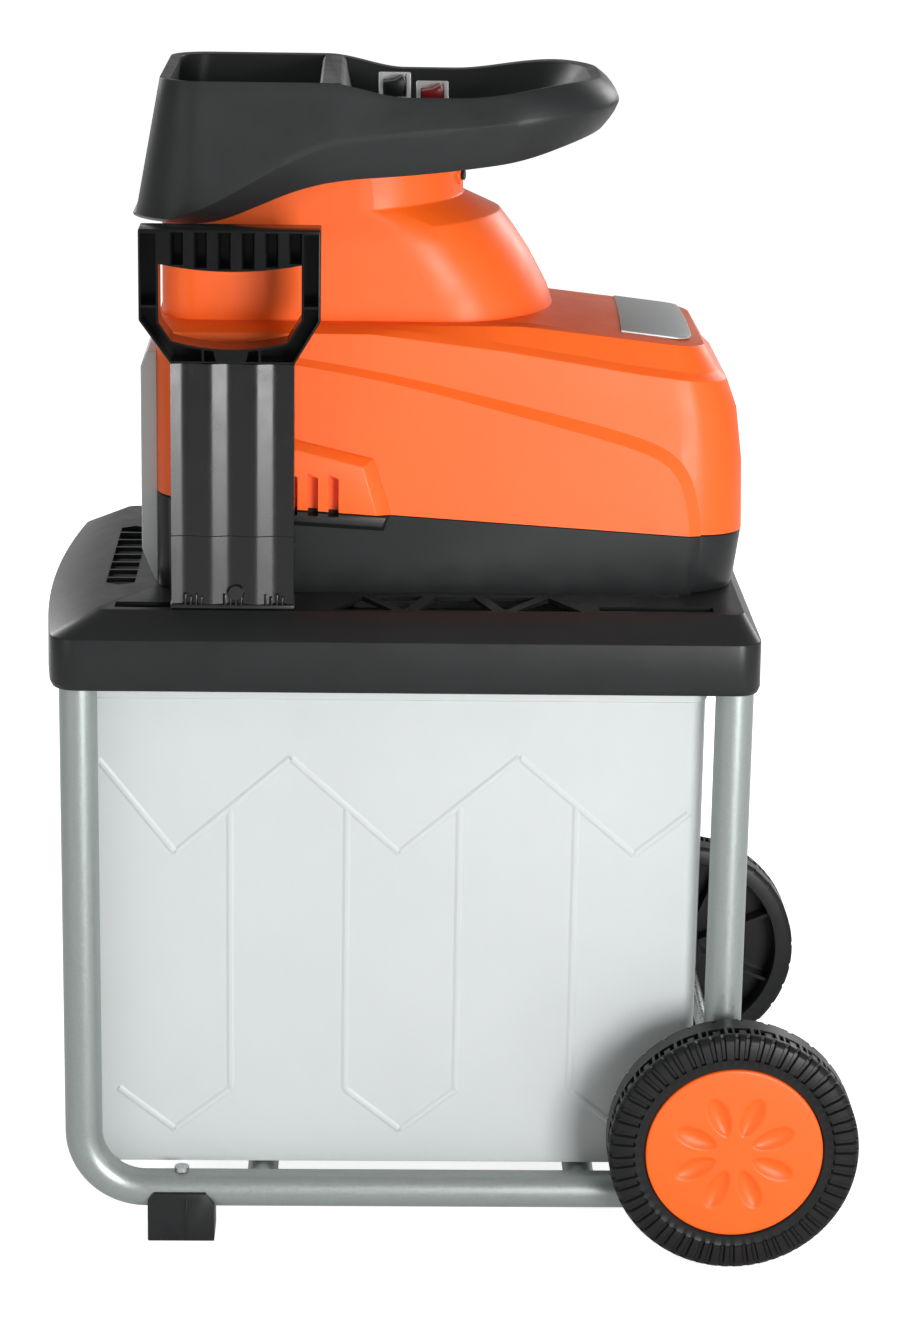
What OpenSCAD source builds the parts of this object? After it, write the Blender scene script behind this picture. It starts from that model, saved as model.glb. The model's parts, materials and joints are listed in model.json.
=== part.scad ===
// Electric roller shredder on a wheeled tube frame, with a slide-out collection box.
// Millimetres, Z up, front at -X, wheels at +X, origin on the floor under the middle.

/* [Frame] */
// Outer diameter of the side tubes
tube_d = 30; // [26:0.5:32]
// Wall of all frame tubes
tube_wall = 1.5; // [1:0.1:2.5]
// Distance from the middle plane to each side tube
tube_y = 186; // [182:0.5:192]
// Height of the bottom tubes' centre line
tube_low_z = 39.5; // [37:0.5:44]
// Centre line radius of the tube bends
bend_r = 50; // [42:1:56]
// Distance of the front legs ahead of the origin
front_leg = 294; // [286:0.5:300]
// Distance of the rear legs behind the origin
rear_leg = 221; // [218:0.5:226]
// Diameter of the cross tubes under the box
cross_d = 25; // [20:0.5:28]

/* [Wheels] */
// Wheel diameter
wheel_d = 200; // [190:1:210]
// Width of the tyre
wheel_w = 41; // [36:0.5:46]
// Gap between a side tube and the tyre
wheel_gap = 11; // [9:0.5:14]
// Axle diameter
axle_d = 12; // [10:0.5:12.5]
// Distance of the axle behind the rear legs' centre
axle_back = 6.5; // [4:0.5:6.5]
// Hub cap diameter
hub_cap_d = 142; // [132:1:146]
// Depth of the tread grooves
tread_depth = 3; // [1.5:0.5:4]
// Number of tread grooves
tread_count = 36; // [24:2:44]

/* [Feet] */
// Length of a front foot
foot_l = 54; // [46:1:60]
// Width of a front foot
foot_w = 37; // [34:1:42]
// Distance of the feet behind the front legs
foot_back = 79; // [74:1:90]

/* [Deck] */
// Height of the skirt's lower edge
deck_low_z = 464.5; // [460:0.5:475]
// Height of the upright skirt
deck_skirt_h = 41.5; // [36:0.5:46]
// Height of the sloped edge above the skirt
deck_slope_h = 17.8; // [14:0.2:22]
// Width of the sloped edge at the sides
deck_slope_w = 27.5; // [24:0.5:28]
// Width of the sloped edge at the front
deck_slope_front = 34; // [30:0.5:36]
// Width of the sloped edge at the rear
deck_slope_rear = 12.5; // [11:0.5:13]
// How far the front edge bows forward
deck_bow = 14; // [8:0.5:16]
// Distance from a leg's outside to the deck's outside
deck_edge = 4.5; // [4:0.1:6]
// Wall of the deck moulding
deck_wall = 3.5; // [2.5:0.1:3.6]

/* [Housing] */
// Distance of the housing's front wall ahead of the origin
housing_front = 236; // [232:0.5:240]
// Distance of the widest rear point behind the origin
housing_rear = 233; // [228:0.5:236]
// Half width at the parting line
housing_half_w = 125; // [122:0.5:128]
// Height of the parting line at the origin
parting_z = 585.7; // [580:0.1:592]
// Fall of the parting line towards the rear, per mm
parting_fall = 0.065; // [0.04:0.005:0.08]
// Height of the flat roof
roof_z = 741; // [738:0.5:748]
// Half width of the roof
roof_half_w = 94; // [92:0.5:98]
// Wall of the housing shells
shell_wall = 3; // [2:0.1:3.4]
// Height of the side vent blocks
vent_h = 55; // [45:1:60]
// Number of vent slots on each side
vent_count = 6; // [4:1:6]

/* [Hopper] */
// Height of the rim above the floor
rim_z = 926; // [920:1:936]
// Half width at the rim
rim_half_w = 114; // [110:0.5:118]
// Width of the flat rim
rim_w = 8; // [6:0.5:10]
// Dip of the rim beside the switches
rim_dip = 10.5; // [6:0.5:12]
// Height of the tray floor
tray_z = 880; // [878:0.5:884]
// Wall of the hopper
hopper_wall = 3; // [2:0.1:3.5]
// Length of the feed throat
throat_l = 108; // [96:1:112]
// Width of the feed throat
throat_w = 132; // [120:1:140]

/* [Collection box] */
// Gap between the box and the side tubes
box_gap = 3.5; // [2.5:0.5:6]
// Wall of the box
box_wall = 2.5; // [2:0.1:3.5]
// Gap between the box's rim and the deck's skirt
box_top_gap = 4.5; // [3:0.5:8]
// Corner radius of the box
box_corner_r = 26; // [18:1:30]

/* [Plunger] */
// Width of the blade
blade_w = 95; // [85:1:100]
// Depth of the blade
blade_d = 36; // [30:1:38]
// Height of the blade
blade_h = 196; // [180:1:205]
// Height of the handle
handle_h = 101; // [95:1:108]
// Width of the handle
handle_w = 139; // [130:1:144]
// Wall of the plunger mouldings
plunger_wall = 3; // [2.5:0.1:4]

/* [Cutter] */
// Outer diameter of the cutting roller
roller_d = 84; // [78:1:86]
// Length of the cutting roller
roller_l = 76; // [60:1:80]
// Number of teeth on the cutting roller
roller_teeth = 8; // [6:1:10]
// Diameter of the output shaft
shaft_d = 20; // [18:0.5:22]
// Gap between the roller and the pressure plate
plate_gap = 1; // [0.5:0.1:2]
// Travel of the pressure plate
plate_travel = 3.5; // [2:0.1:4]
// Diameter of the adjusting screw
screw_d = 10; // [8:0.5:12]
// Diameter of the adjusting knob
knob_d = 44; // [38:1:50]

/* [Gears] */
// Teeth on each large gear
gear_teeth = 48; // [48:4:48]
// Teeth on each pinion
pinion_teeth = 8; // [8:4:8]
// Module of the output pair
output_module = 2; // [1.9:0.05:2]
// Module of the motor pair
motor_module = 1.5; // [1.45:0.05:1.5]

/* [Motor] */
// Height of the roller axis above the housing's floor
roller_rise = 67.2; // [65:0.2:69]
// Height of the motor axis above the roller axis
motor_rise = 44; // [42:0.5:46]
// Outer diameter of the stator
stator_d = 116; // [110:1:118]
// Length of the stator
stator_l = 100; // [80:1:104]
// Diameter of the rotor
rotor_d = 66; // [60:1:66]
// Diameter of the rotor shaft at its bearings
rotor_shaft_d = 17; // [15:0.5:17]

/* [Fits] */
// Radial clearance of a turning or sliding fit
run_gap = 0.05; // [0.02:0.01:0.08]
// Clearance between pieces that pass each other
free_gap = 0.4; // [0.3:0.05:0.6]
// Clearance on the diameter of a screw in the hole it is driven into
screw_gap = 0.2; // [0.15:0.05:0.3]
// Clearance between a flat lug and the curved wall it stands behind
lug_gap = 1.5; // [1.5:0.1:2]
// Clearance behind the pressure plate at the end of its travel
plate_clear = 2.5; // [1:0.5:3]

/* [Hidden] */
$fn = 48;

orange = "#f47a2c";
black = "#2b2d2e";
silver = "#a4b0ac";
pale = "#e9ecea";
grey = "#a8afad";
steel = "#9a9da0";
brass = "#b8924a";

// Shared places, worked out from the driving dimensions
axle_x = rear_leg + axle_back;
axle_z = wheel_d / 2;
tube_r = tube_d / 2;
deck_front = front_leg + tube_r + deck_edge;
deck_rear = rear_leg + tube_r + deck_edge;
deck_half_w = tube_y + tube_r + deck_edge;
deck_corner_r = tube_r + deck_edge;
deck_skirt_z = deck_low_z + deck_skirt_h;
deck_top_z = deck_skirt_z + deck_slope_h;
floor_t = 3;
floor_z = deck_top_z + floor_t;
roller_z = floor_z + roller_rise;
motor_z = roller_z + motor_rise;
leg_top_z = deck_skirt_z - 4;
wheel_in_y = tube_y + tube_r + wheel_gap;
wheel_out_y = wheel_in_y + wheel_w;
foot_x = -front_leg + foot_back;
box_low_z = tube_low_z + cross_d / 2 + free_gap;
box_top_z = deck_low_z - box_top_gap;
box_half_w = tube_y - tube_r - box_gap;
box_front = -front_leg - 5;
box_rear = rear_leg - tube_r - box_gap;
tray_low_z = tray_z - hopper_wall;

// Chamber, chute and gearbox places along X
throat_front = -222;
throat_rear = throat_front + throat_l;
chute_low_z = roller_z + 96;
throat_low_z = tray_z - 30;
chute_wall = 2.5;
chamber_wall = 6;
chamber_front = throat_front - chamber_wall;
chamber_rear = -72;
chamber_side = 6.5;
chamber_half_w = throat_w / 2 + chamber_side;
roller_mid_x = (throat_front + throat_rear) / 2;
case_wall = 6;
case_rear = -10;
cover_t = 14;
cover_rear = case_rear + cover_t;
bell_l = 18;
stator_front = cover_rear + bell_l;
stator_rear = stator_front + stator_l;
shield_front = stator_rear + 24;
shield_t = 12;
shield_rear = shield_front + shield_t;

// Gear layout: the countershaft sits where both centre distances meet
output_centre = output_module * (gear_teeth + pinion_teeth) / 2;
motor_centre = motor_module * (gear_teeth + pinion_teeth) / 2;
counter_dz = (pow(output_centre, 2) - pow(motor_centre, 2) - pow(motor_rise, 2)) / (2 * motor_rise);
counter_y = -sqrt(motor_centre * motor_centre - counter_dz * counter_dz);
counter_z = motor_z + counter_dz;
counter_d = 12;
output_bearing = [42, 12];
counter_bearing = [28, 8];
rotor_bearing = [40, 12];

// Soft step from 0 to 1
function ease(u) = let (c = max(0, min(1, u))) c * c * (3 - 2 * c);

function parting(x) = parting_z - parting_fall * x;
roof_fall_x = 84;
roof_fall = 0.13;
function roof(x) = roof_z - roof_fall * max(0, x - roof_fall_x);
crease_fall = 0.146;
crease_drop = 15;
function crease(x) = min(roof_z - crease_drop / 2, roof_z - crease_drop - crease_fall * x);
function rim(x) = rim_z - rim_dip * (ease((x + 105) / 65) - ease(x / 95));

// Plan outline with rounded corners, walked from the rear on the left side, with stations along the sides
function quarter(cx, cy, r, from) = [for (i = [0:5]) let (a = from + 18 * i)
    [cx + r * cos(a), cy + r * sin(a)]];
function plan(xf, xr, b, rf, rr, stations) = let (n = len(stations)) concat(
    quarter(xr - rr, b - rr, rr, 0),
    [for (i = [0:n - 1]) [stations[n - 1 - i], b]],
    quarter(xf + rf, b - rf, rf, 90),
    [for (i = [1:5]) [xf, (b - rf) * (1 - i / 3)]],
    quarter(xf + rf, rf - b, rf, 180),
    [for (s = stations) [s, -b]],
    quarter(xr - rr, rr - b, rr, 270),
    [for (i = [1:5]) [xr, (b - rr) * (i / 3 - 1)]]
);
function at(points, z) = [for (p = points) [p[0], p[1], is_function(z) ? z(p[0]) : z]];
function bowed(points, bow, b) = [for (p = points) [p[0] < 0 && abs(p[1]) < b && p[0] < -200
    ? p[0] - bow * (1 - pow(p[1] / b, 2)) : p[0], p[1]]];

// Closed skin through a loop of equal rings: out over the outside, in over an edge and back inside
module skin(rings) {
    n = len(rings);
    m = len(rings[0]);
    polyhedron(
        [for (ring = rings) each ring],
        [for (i = [0:n - 1], j = [0:m - 1])
            let (a = i * m + j, b = i * m + (j + 1) % m,
                c = ((i + 1) % n) * m + j, d = ((i + 1) % n) * m + (j + 1) % m)
            each [[a, c, b], [b, c, d]]]
    );
}

function rounded(x0, x1, y0, y1, r) = concat(
    quarter(x1 - r, y1 - r, r, 0), quarter(x0 + r, y1 - r, r, 90),
    quarter(x0 + r, y0 + r, r, 180), quarter(x1 - r, y0 + r, r, 270));
module slab(x0, x1, y0, y1, z0, z1, r) {
    translate([0, 0, z0]) linear_extrude(z1 - z0) polygon(rounded(x0, x1, y0, y1, r));
}
module block(x0, x1, y0, y1, z0, z1) {
    translate([x0, y0, z0]) cube([x1 - x0, y1 - y0, z1 - z0]);
}
module rod_x(x0, x1, y, z, d) {
    translate([x0, y, z]) rotate([0, 90, 0]) cylinder(h = x1 - x0, d = d);
}
module rod_y(x, y0, y1, z, d) {
    translate([x, y0, z]) rotate([-90, 0, 0]) cylinder(h = y1 - y0, d = d);
}
module rod_z(x, y, z0, z1, d) {
    translate([x, y, z0]) cylinder(h = z1 - z0, d = d);
}
module prism_y(points, y0, y1) {
    translate([0, y1, 0]) rotate([90, 0, 0]) linear_extrude(y1 - y0) polygon(points);
}
module prism_x(points, x0, x1) {
    translate([x0, 0, 0]) rotate([90, 0, 90]) linear_extrude(x1 - x0) polygon(points);
}
module each_side() {
    children();
    mirror([0, 1, 0]) children();
}

// Frame

module tube_run(length, d) {
    difference() {
        cylinder(h = length, d = d);
        translate([0, 0, -1]) cylinder(h = length + 2, d = d - 2 * tube_wall);
    }
}
module tube_bend(from) {
    rotate([90, 0, 0]) rotate([0, 0, from]) rotate_extrude(angle = 90)
        translate([bend_r, 0]) difference() {
            circle(d = tube_d);
            circle(d = tube_d - 2 * tube_wall);
        }
}
foot_screw_d = 6;
frame_bolt_z = deck_low_z + 22;
module side_tube() {
    color(silver) difference() {
        union() {
            for (x = [-front_leg, rear_leg])
                translate([x, -tube_y, tube_low_z + bend_r])
                    tube_run(leg_top_z - tube_low_z - bend_r, tube_d);
            translate([-front_leg + bend_r, -tube_y, tube_low_z]) rotate([0, 90, 0])
                tube_run(front_leg + rear_leg - 2 * bend_r, tube_d);
            translate([-front_leg + bend_r, -tube_y, tube_low_z + bend_r]) tube_bend(180);
            translate([rear_leg - bend_r, -tube_y, tube_low_z + bend_r]) tube_bend(270);
        }
        rod_y(axle_x, -tube_y - tube_d, -tube_y + tube_d, axle_z, axle_d + 2 * run_gap);
        rod_z(foot_x, -tube_y, 0, tube_low_z + tube_d, foot_screw_d + free_gap);
        for (x = [-front_leg, rear_leg])
            rod_y(x, -tube_y - tube_d, -tube_y + tube_d, frame_bolt_z, foot_screw_d + free_gap);
        for (x = cross_places) rod_y(x, -tube_y, -tube_y + tube_d, tube_low_z, cross_d);
    }
}
module right_frame_tube() side_tube();
module left_frame_tube() mirror([0, 1, 0]) side_tube();

cross_places = [-150, 110];
// A cross tube runs into the holes of both side tubes, where it is welded
cross_end = tube_y - sqrt(pow(tube_r - tube_wall, 2) - pow(cross_d / 2, 2));
module cross_tube(x) {
    color(silver) translate([x, -cross_end, tube_low_z]) rotate([-90, 0, 0])
        tube_run(2 * cross_end, cross_d);
}
module front_cross_tube() cross_tube(cross_places[0]);
module rear_cross_tube() cross_tube(cross_places[1]);

hub_out_y = wheel_out_y - 11;
hub_in_y = tube_y + tube_r + 0.5;
clip_t = 3.5;
axle_end_y = hub_out_y + free_gap + clip_t;
module axle() {
    color(steel) rod_y(axle_x, -axle_end_y, axle_end_y, axle_z, axle_d);
}
module axle_clips() {
    color(steel) each_side() difference() {
        rod_y(axle_x, hub_out_y + free_gap, axle_end_y, axle_z, 2 * axle_d);
        rod_y(axle_x, hub_out_y - 1, axle_end_y + 1, axle_z, axle_d);
    }
}

// Wheel, drawn on the right side with its face towards -Y
rim_r = wheel_d / 2 - 16;
hub_d = 30;
spoke_count = 8;
spoke_t = 3;
web_t = 4;
module wheel() {
    r = wheel_d / 2;
    color(black) translate([axle_x, -wheel_in_y, axle_z]) rotate([90, 0, 0]) {
        difference() {
            rotate_extrude() polygon([
                [rim_r, 0], [r - 6, 0], [r, 5], [r, wheel_w - 6], [r - 5, wheel_w],
                [hub_cap_d / 2 + free_gap, wheel_w], [hub_cap_d / 2 + free_gap, hub_out_y - wheel_in_y],
                [axle_d / 2 + 3, hub_out_y - wheel_in_y], [axle_d / 2 + 3, hub_out_y - wheel_in_y - web_t],
                [rim_r, hub_out_y - wheel_in_y - web_t]]);
            for (i = [0:tread_count - 1]) rotate(360 * (i + 0.5) / tread_count)
                translate([r - tread_depth, -2.5, 6.6 + (i % 2) * (wheel_w / 3)])
                    cube([2 * tread_depth, 5, wheel_w / 3]);
        }
        for (i = [0:spoke_count - 1]) rotate(360 * (i + 0.5) / spoke_count)
            translate([hub_d / 2 - 2, -spoke_t / 2, 8])
                cube([rim_r - hub_d / 2 + 4, spoke_t, hub_out_y - wheel_in_y - web_t - 6]);
        difference() {
            translate([0, 0, hub_in_y - wheel_in_y]) cylinder(h = hub_out_y - hub_in_y - 1, d = hub_d);
            translate([0, 0, hub_in_y - wheel_in_y - 1])
                cylinder(h = hub_out_y - hub_in_y + 2, d = axle_d + 2 * run_gap);
        }
    }
}
module right_wheel() wheel();
module left_wheel() mirror([0, 1, 0]) wheel();

cap_t = 2.5;
petal_count = 8;
module hub_cap() {
    cap_h = wheel_out_y - hub_out_y;
    cap_r = hub_cap_d / 2;
    color(orange) translate([axle_x, -hub_out_y, axle_z]) rotate([90, 0, 0]) difference() {
        rotate_extrude() polygon([
            [cap_r - cap_t, 0], [cap_r, 0], [cap_r, cap_h - 3.5], [cap_r - 4, cap_h - 1.2],
            [cap_r / 2, cap_h], [0, cap_h], [0, cap_h - cap_t], [cap_r / 2, cap_h - cap_t],
            [cap_r - 2 * cap_t, cap_h - cap_t - 2], [cap_r - cap_t, cap_h - cap_t - 3]]);
        for (i = [0:petal_count - 1]) rotate(360 * (i + 0.5) / petal_count)
            translate([cap_r * 0.45, 0, cap_h + 4.5]) scale([1.9, 0.9, 1]) sphere(r = 6, $fn = 24);
    }
}
module right_hub_cap() hub_cap();
module left_hub_cap() mirror([0, 1, 0]) hub_cap();

foot_lip = 2;
module foot() {
    color(black) difference() {
        slab(foot_x - foot_l / 2, foot_x + foot_l / 2, -tube_y - foot_w / 2, -tube_y + foot_w / 2,
            0, tube_low_z + foot_lip, 3);
        rod_x(foot_x - foot_l, foot_x + foot_l, -tube_y, tube_low_z, tube_d);
        block(foot_x - foot_l, foot_x + foot_l, -tube_y - tube_r, -tube_y + tube_r,
            tube_low_z, tube_low_z + tube_d);
        rod_z(foot_x, -tube_y, 8, tube_low_z, foot_screw_d);
    }
}
module right_foot() foot();
module left_foot() mirror([0, 1, 0]) foot();
module foot_screws() {
    head_z = tube_low_z + tube_r;
    color(steel) each_side() {
        rod_z(foot_x, -tube_y, 8, head_z + 0.5, foot_screw_d);
        rod_z(foot_x, -tube_y, head_z, head_z + 3.5, 2 * foot_screw_d);
    }
}

// Deck

deck_stations = [-230, -120, 0, 120, 190];
function deck_ring(f, r, s, corner, z) = at(bowed(
    plan(-deck_front + f, deck_rear - r, deck_half_w - s, corner, corner, deck_stations),
    max(0, deck_bow * (1 - f / deck_slope_front)), deck_half_w - s), z);
chip_half_w = throat_w / 2;
chip_front = throat_front + 4;
chip_rear = chamber_rear - chamber_wall - 4;
deck_hole = 1;
function chip_ring(grow, z) = at(plan(chip_front - grow, chip_rear + grow, chip_half_w + grow, 8, 8,
    [-200, -180, -150, -120, -110]), z);
grille_bars = 7;
grille_l = 206;
grille_w = 23;
grille_x = -deck_front + deck_slope_front + 13;
slot_y = -deck_half_w + deck_slope_w + 16;
blade_x = -173.5;
blade_front_y = -deck_half_w + deck_slope_w + 2;
tongue_d = 12;
truss_x = -60;
truss_pitch = 36;
truss_w = 30;
truss_h = 16;
rear_slot_x = 115;
rear_slot_l = 90;
bolt_reach = deck_edge - deck_wall + 2;
module deck() {
    plate_low = deck_top_z - deck_wall;
    w = deck_wall;
    color(black) difference() {
        union() {
            skin([
                deck_ring(0, 0, 0, deck_corner_r, deck_low_z),
                deck_ring(0, 0, 0, deck_corner_r, deck_skirt_z),
                deck_ring(deck_slope_front, deck_slope_rear, deck_slope_w, 10, deck_top_z),
                chip_ring(chute_wall + deck_hole, deck_top_z),
                chip_ring(chute_wall + deck_hole, plate_low),
                deck_ring(deck_slope_front, deck_slope_rear, deck_slope_w, 10, plate_low),
                deck_ring(w, w, w, deck_corner_r - w, deck_skirt_z - w),
                deck_ring(w, w, w, deck_corner_r - w, deck_low_z)
            ]);
            for (x = [-front_leg, rear_leg], y = [-tube_y, tube_y])
                rod_z(x, y, leg_top_z, deck_skirt_z + 3, tube_d + 2);
            prism_y([[switch_x, switch_top_z], [switch_x + switch_l, switch_top_z],
                [switch_x + switch_l, plate_low + 1], [switch_x, deck_skirt_z + 6]],
                lock_y - 12, lock_y + 12);
            // Stiffening ribs under the plate
            for (x = [-40, 40, 120])
                hull() for (y = [-deck_half_w + 40, deck_half_w - 40])
                    block(x - 1.5, x + 1.5, y - 3, y + 3, plate_low - 14, plate_low + 1);
            for (y = [-120, 120])
                hull() for (x = [-60, 170])
                    block(x - 3, x + 3, y - 1.5, y + 1.5, plate_low - 14, plate_low + 1);
        }
        // Front grille, left open between its bars
        for (i = [0:grille_bars])
            let (pitch = grille_l / (grille_bars + 1), y = pitch * (i + 0.5) - grille_l / 2, h = grille_w / 2)
            hull() {
                block(grille_x - h, grille_x + h, y - pitch / 2 + 2.5, y + pitch / 2 - 2.5,
                    plate_low - 1, deck_top_z + 1);
                block(grille_x - h + 3, grille_x + h - 3, y - pitch / 2 + 1.5, y + pitch / 2 - 1.5,
                    plate_low - 1, deck_top_z + 1);
            }
        // Slot for the plunger's tongue, longer than the plunger
        block(blade_x - blade_w / 2 - 45, blade_x + blade_w / 2 - 6, slot_y - tongue_d / 2 - free_gap,
            slot_y + tongue_d / 2 + free_gap, plate_low - 1, deck_top_z + 1);
        // Triangular openings and a long slot towards the rear
        for (i = [0:3]) translate([truss_x + truss_pitch * i, slot_y, plate_low - 1]) mirror([0, i % 2, 0])
            linear_extrude(w + 2)
                polygon([[-truss_w / 2, -truss_h / 2], [truss_w / 2, -truss_h / 2], [0, truss_h / 2]]);
        block(rear_slot_x, rear_slot_x + rear_slot_l, slot_y - 5, slot_y + 5, plate_low - 1, deck_top_z + 1);
        at_housing_screws() rod_z(0, 0, plate_low - 1, deck_top_z + 1, housing_screw_d + screw_gap, $fn = 16);
        each_side() for (x = [-front_leg, rear_leg])
            rod_y(x, -tube_y - tube_r - bolt_reach, -tube_y, frame_bolt_z,
                foot_screw_d + screw_gap, $fn = 16);
    }
}
module frame_bolts() {
    color(steel) each_side() for (x = [-front_leg, rear_leg]) {
        rod_y(x, -tube_y - tube_r - bolt_reach, -tube_y + tube_r + 0.5, frame_bolt_z, foot_screw_d);
        rod_y(x, -tube_y + tube_r, -tube_y + tube_r + 3, frame_bolt_z, 2 * foot_screw_d);
    }
}

// Housing

housing_stations = [-150, -60, 20, roof_fall_x, 140];
base_half_w = housing_half_w - 5;
housing_screw_d = 4;
housing_screw_xs = [-200, -30, 165];
module at_housing_screws() {
    for (x = housing_screw_xs, s = [-1, 1])
        translate([x, s * (base_half_w - shell_wall - 8), 0]) children();
}
base_rear = housing_rear - 5.5;
function housing_ring(xr, b, rf, rr, z, inset) =
    at(plan(-housing_front + inset, xr - inset, b - inset, rf, rr, housing_stations), z);
module lower_housing() {
    w = shell_wall;
    color(black) difference() {
        skin([
            housing_ring(base_rear, base_half_w, 22, 40, deck_top_z, 0),
            housing_ring(housing_rear, housing_half_w, 25, 42, function(x) parting(x), 0),
            housing_ring(housing_rear, housing_half_w, 25 - w, 42 - w, function(x) parting(x), w),
            housing_ring(base_rear, base_half_w, 22 - w, 40 - w, floor_z, w),
            chip_ring(chute_flange + free_gap, floor_z),
            chip_ring(chute_flange + free_gap, deck_top_z)
        ]);
        block(base_rear - 12, housing_rear + 5, inlet_y - inlet_w / 2, inlet_y + inlet_w / 2,
            inlet_z - inlet_h / 2, inlet_z + inlet_h / 2);
        at_housing_screws() rod_z(0, 0, deck_top_z - 1, floor_z + 1, housing_screw_d);
    }
}

crease_half_w = housing_half_w - 12;
mid_half_w = housing_half_w - 4;
crease_rear = housing_rear - 21;
roof_rear = housing_rear - 40;
flat_stations = [-150, -90, -30, 10, 40];
function flat_ring(z, inset) = at(plan(-housing_front + inset, roof_fall_x, roof_half_w - inset,
    22, 26, flat_stations), z);
function mid_z(x) = 0.5 * parting(x) + 0.5 * crease(x);
function throat_ring(grow, z) = at(plan(throat_front - grow, throat_rear + grow, throat_w / 2 + grow, 8, 8,
    [-200, -180, -160, -140, -130]), z);
module upper_skin() {
    w = shell_wall;
    skin([
        housing_ring(housing_rear, housing_half_w, 25, 42, function(x) parting(x), 0),
        housing_ring(housing_rear - 4, mid_half_w, 25, 40, function(x) mid_z(x), 0),
        housing_ring(crease_rear, crease_half_w, 24, 36, function(x) crease(x), 0),
        housing_ring(roof_rear, roof_half_w, 22, 26, function(x) roof(x), 0),
        flat_ring(roof_z, 1.5),
        throat_ring(5, roof_z),
        throat_ring(5, roof_z - w),
        flat_ring(roof_z - w, 1.5 + w),
        housing_ring(roof_rear, roof_half_w, 22 - w, 26 - w, function(x) roof(x) - w, w),
        housing_ring(crease_rear, crease_half_w, 24 - w, 36 - w, function(x) crease(x) - w, w),
        housing_ring(housing_rear - 4, mid_half_w, 25 - w, 40 - w, function(x) mid_z(x), w),
        housing_ring(housing_rear, housing_half_w, 25 - w, 42 - w, function(x) parting(x), w)
    ]);
}
vent_front = -186;
vent_rear = -53;
vent_pitch = 15;
vent_out = 8;
slot_w = 7;
vent_slant = 11;
function vent_face(inset, top) = [
    [vent_front + inset, parting(vent_front + inset) + 1 + inset],
    [vent_rear - inset, parting(vent_rear) + 1 + inset],
    [vent_rear - vent_slant - inset, parting(vent_rear) + vent_h - top],
    [vent_front + inset, parting(vent_front) + vent_h - top]];
module vent_block() {
    hull() {
        prism_y(vent_face(4, 14), -housing_half_w - vent_out, -housing_half_w);
        prism_y(vent_face(0, 0), -housing_half_w + 1, -mid_half_w + 1.5);
    }
}
module vent_slots(x_end, y) {
    for (i = [0:vent_count - 1]) let (x = x_end - vent_pitch * i, low = parting(x) + 8 + slot_w / 2)
        hull() for (z = [low, low + vent_h * 0.5]) rod_y(x, y - 16, y + 16, z, slot_w, $fn = 12);
}
module upper_housing() {
    color(orange) difference() {
        union() {
            upper_skin();
            vent_block();
        }
        vent_slots(vent_rear - 32, -housing_half_w);
        vent_slots(40, housing_half_w);
        rod_y(roller_mid_x, 80, housing_half_w + 20, knob_z, screw_d + 8);
    }
}
module housing_screws() {
    color(steel) at_housing_screws() {
        rod_z(0, 0, deck_top_z - deck_wall, floor_z + 1, housing_screw_d);
        rod_z(0, 0, floor_z, floor_z + 3, 2 * housing_screw_d);
    }
}

// Feed cowl: a tilted collar, a shoulder and a flaring bell that stands on the roof
cowl_front = housing_front - 3;
cowl_stations = [-170, -150, -130, -110, -90];
collar_rear = 6;
collar_half_w = 86;
collar_r = 84;
hopper_screw_z = tray_low_z - 32;
hopper_screw_d = 4;
hopper_screw_turn = 16;
module at_hopper_screws() {
    for (s = [-1, 1]) translate([collar_rear - collar_r, s * (collar_half_w - collar_r), hopper_screw_z])
        rotate(s * hopper_screw_turn) translate([collar_r, 0, 0]) children();
}
function cowl_ring(xr, b, rf, rr, z, inset) =
    at(plan(-cowl_front + inset, xr - inset, b - inset, rf - inset, rr - inset, cowl_stations), z);
module feed_cowl() {
    w = shell_wall;
    profile = [
        [80, 91, 28, 88, function(x) roof_z],
        [61, 90.5, 28, 88, function(x) roof_z + 40 + 0.04 * (x - 61)],
        [36, 90, 28, 88, function(x) roof_z + 75 + 0.075 * (x - 36)],
        [collar_rear, collar_half_w, 28, collar_r, function(x) roof_z + 88.5 + 0.068 * (x - collar_rear)],
        [collar_rear, collar_half_w, 28, collar_r, function(x) tray_low_z]
    ];
    color(orange) difference() {
        skin(concat(
            [for (p = profile) cowl_ring(p[0], p[1], p[2], p[3], p[4], 0)],
            [for (i = [len(profile) - 1:-1:0]) let (p = profile[i])
                cowl_ring(p[0], p[1], p[2], p[3], p[4], w)]));
        at_hopper_screws() rod_x(-8, 8, 0, 0, hopper_screw_d + free_gap);
    }
}

// Hopper: skirt, rim, tray and feed throat as one moulding
hopper_front = 257;
hopper_rear = 128;
hopper_stations = [-190, -160, -128, -100, -70, -38, -5, 25];
hopper_edge = [
    [-260, 815], [-190, 815.5], [-153, 831], [-123, 844], [-89, 851], [-46, 854], [0, 859], [47, 866],
    [89, 879], [130, 890]];
function hopper_low(x) = lookup(x, hopper_edge);
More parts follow.
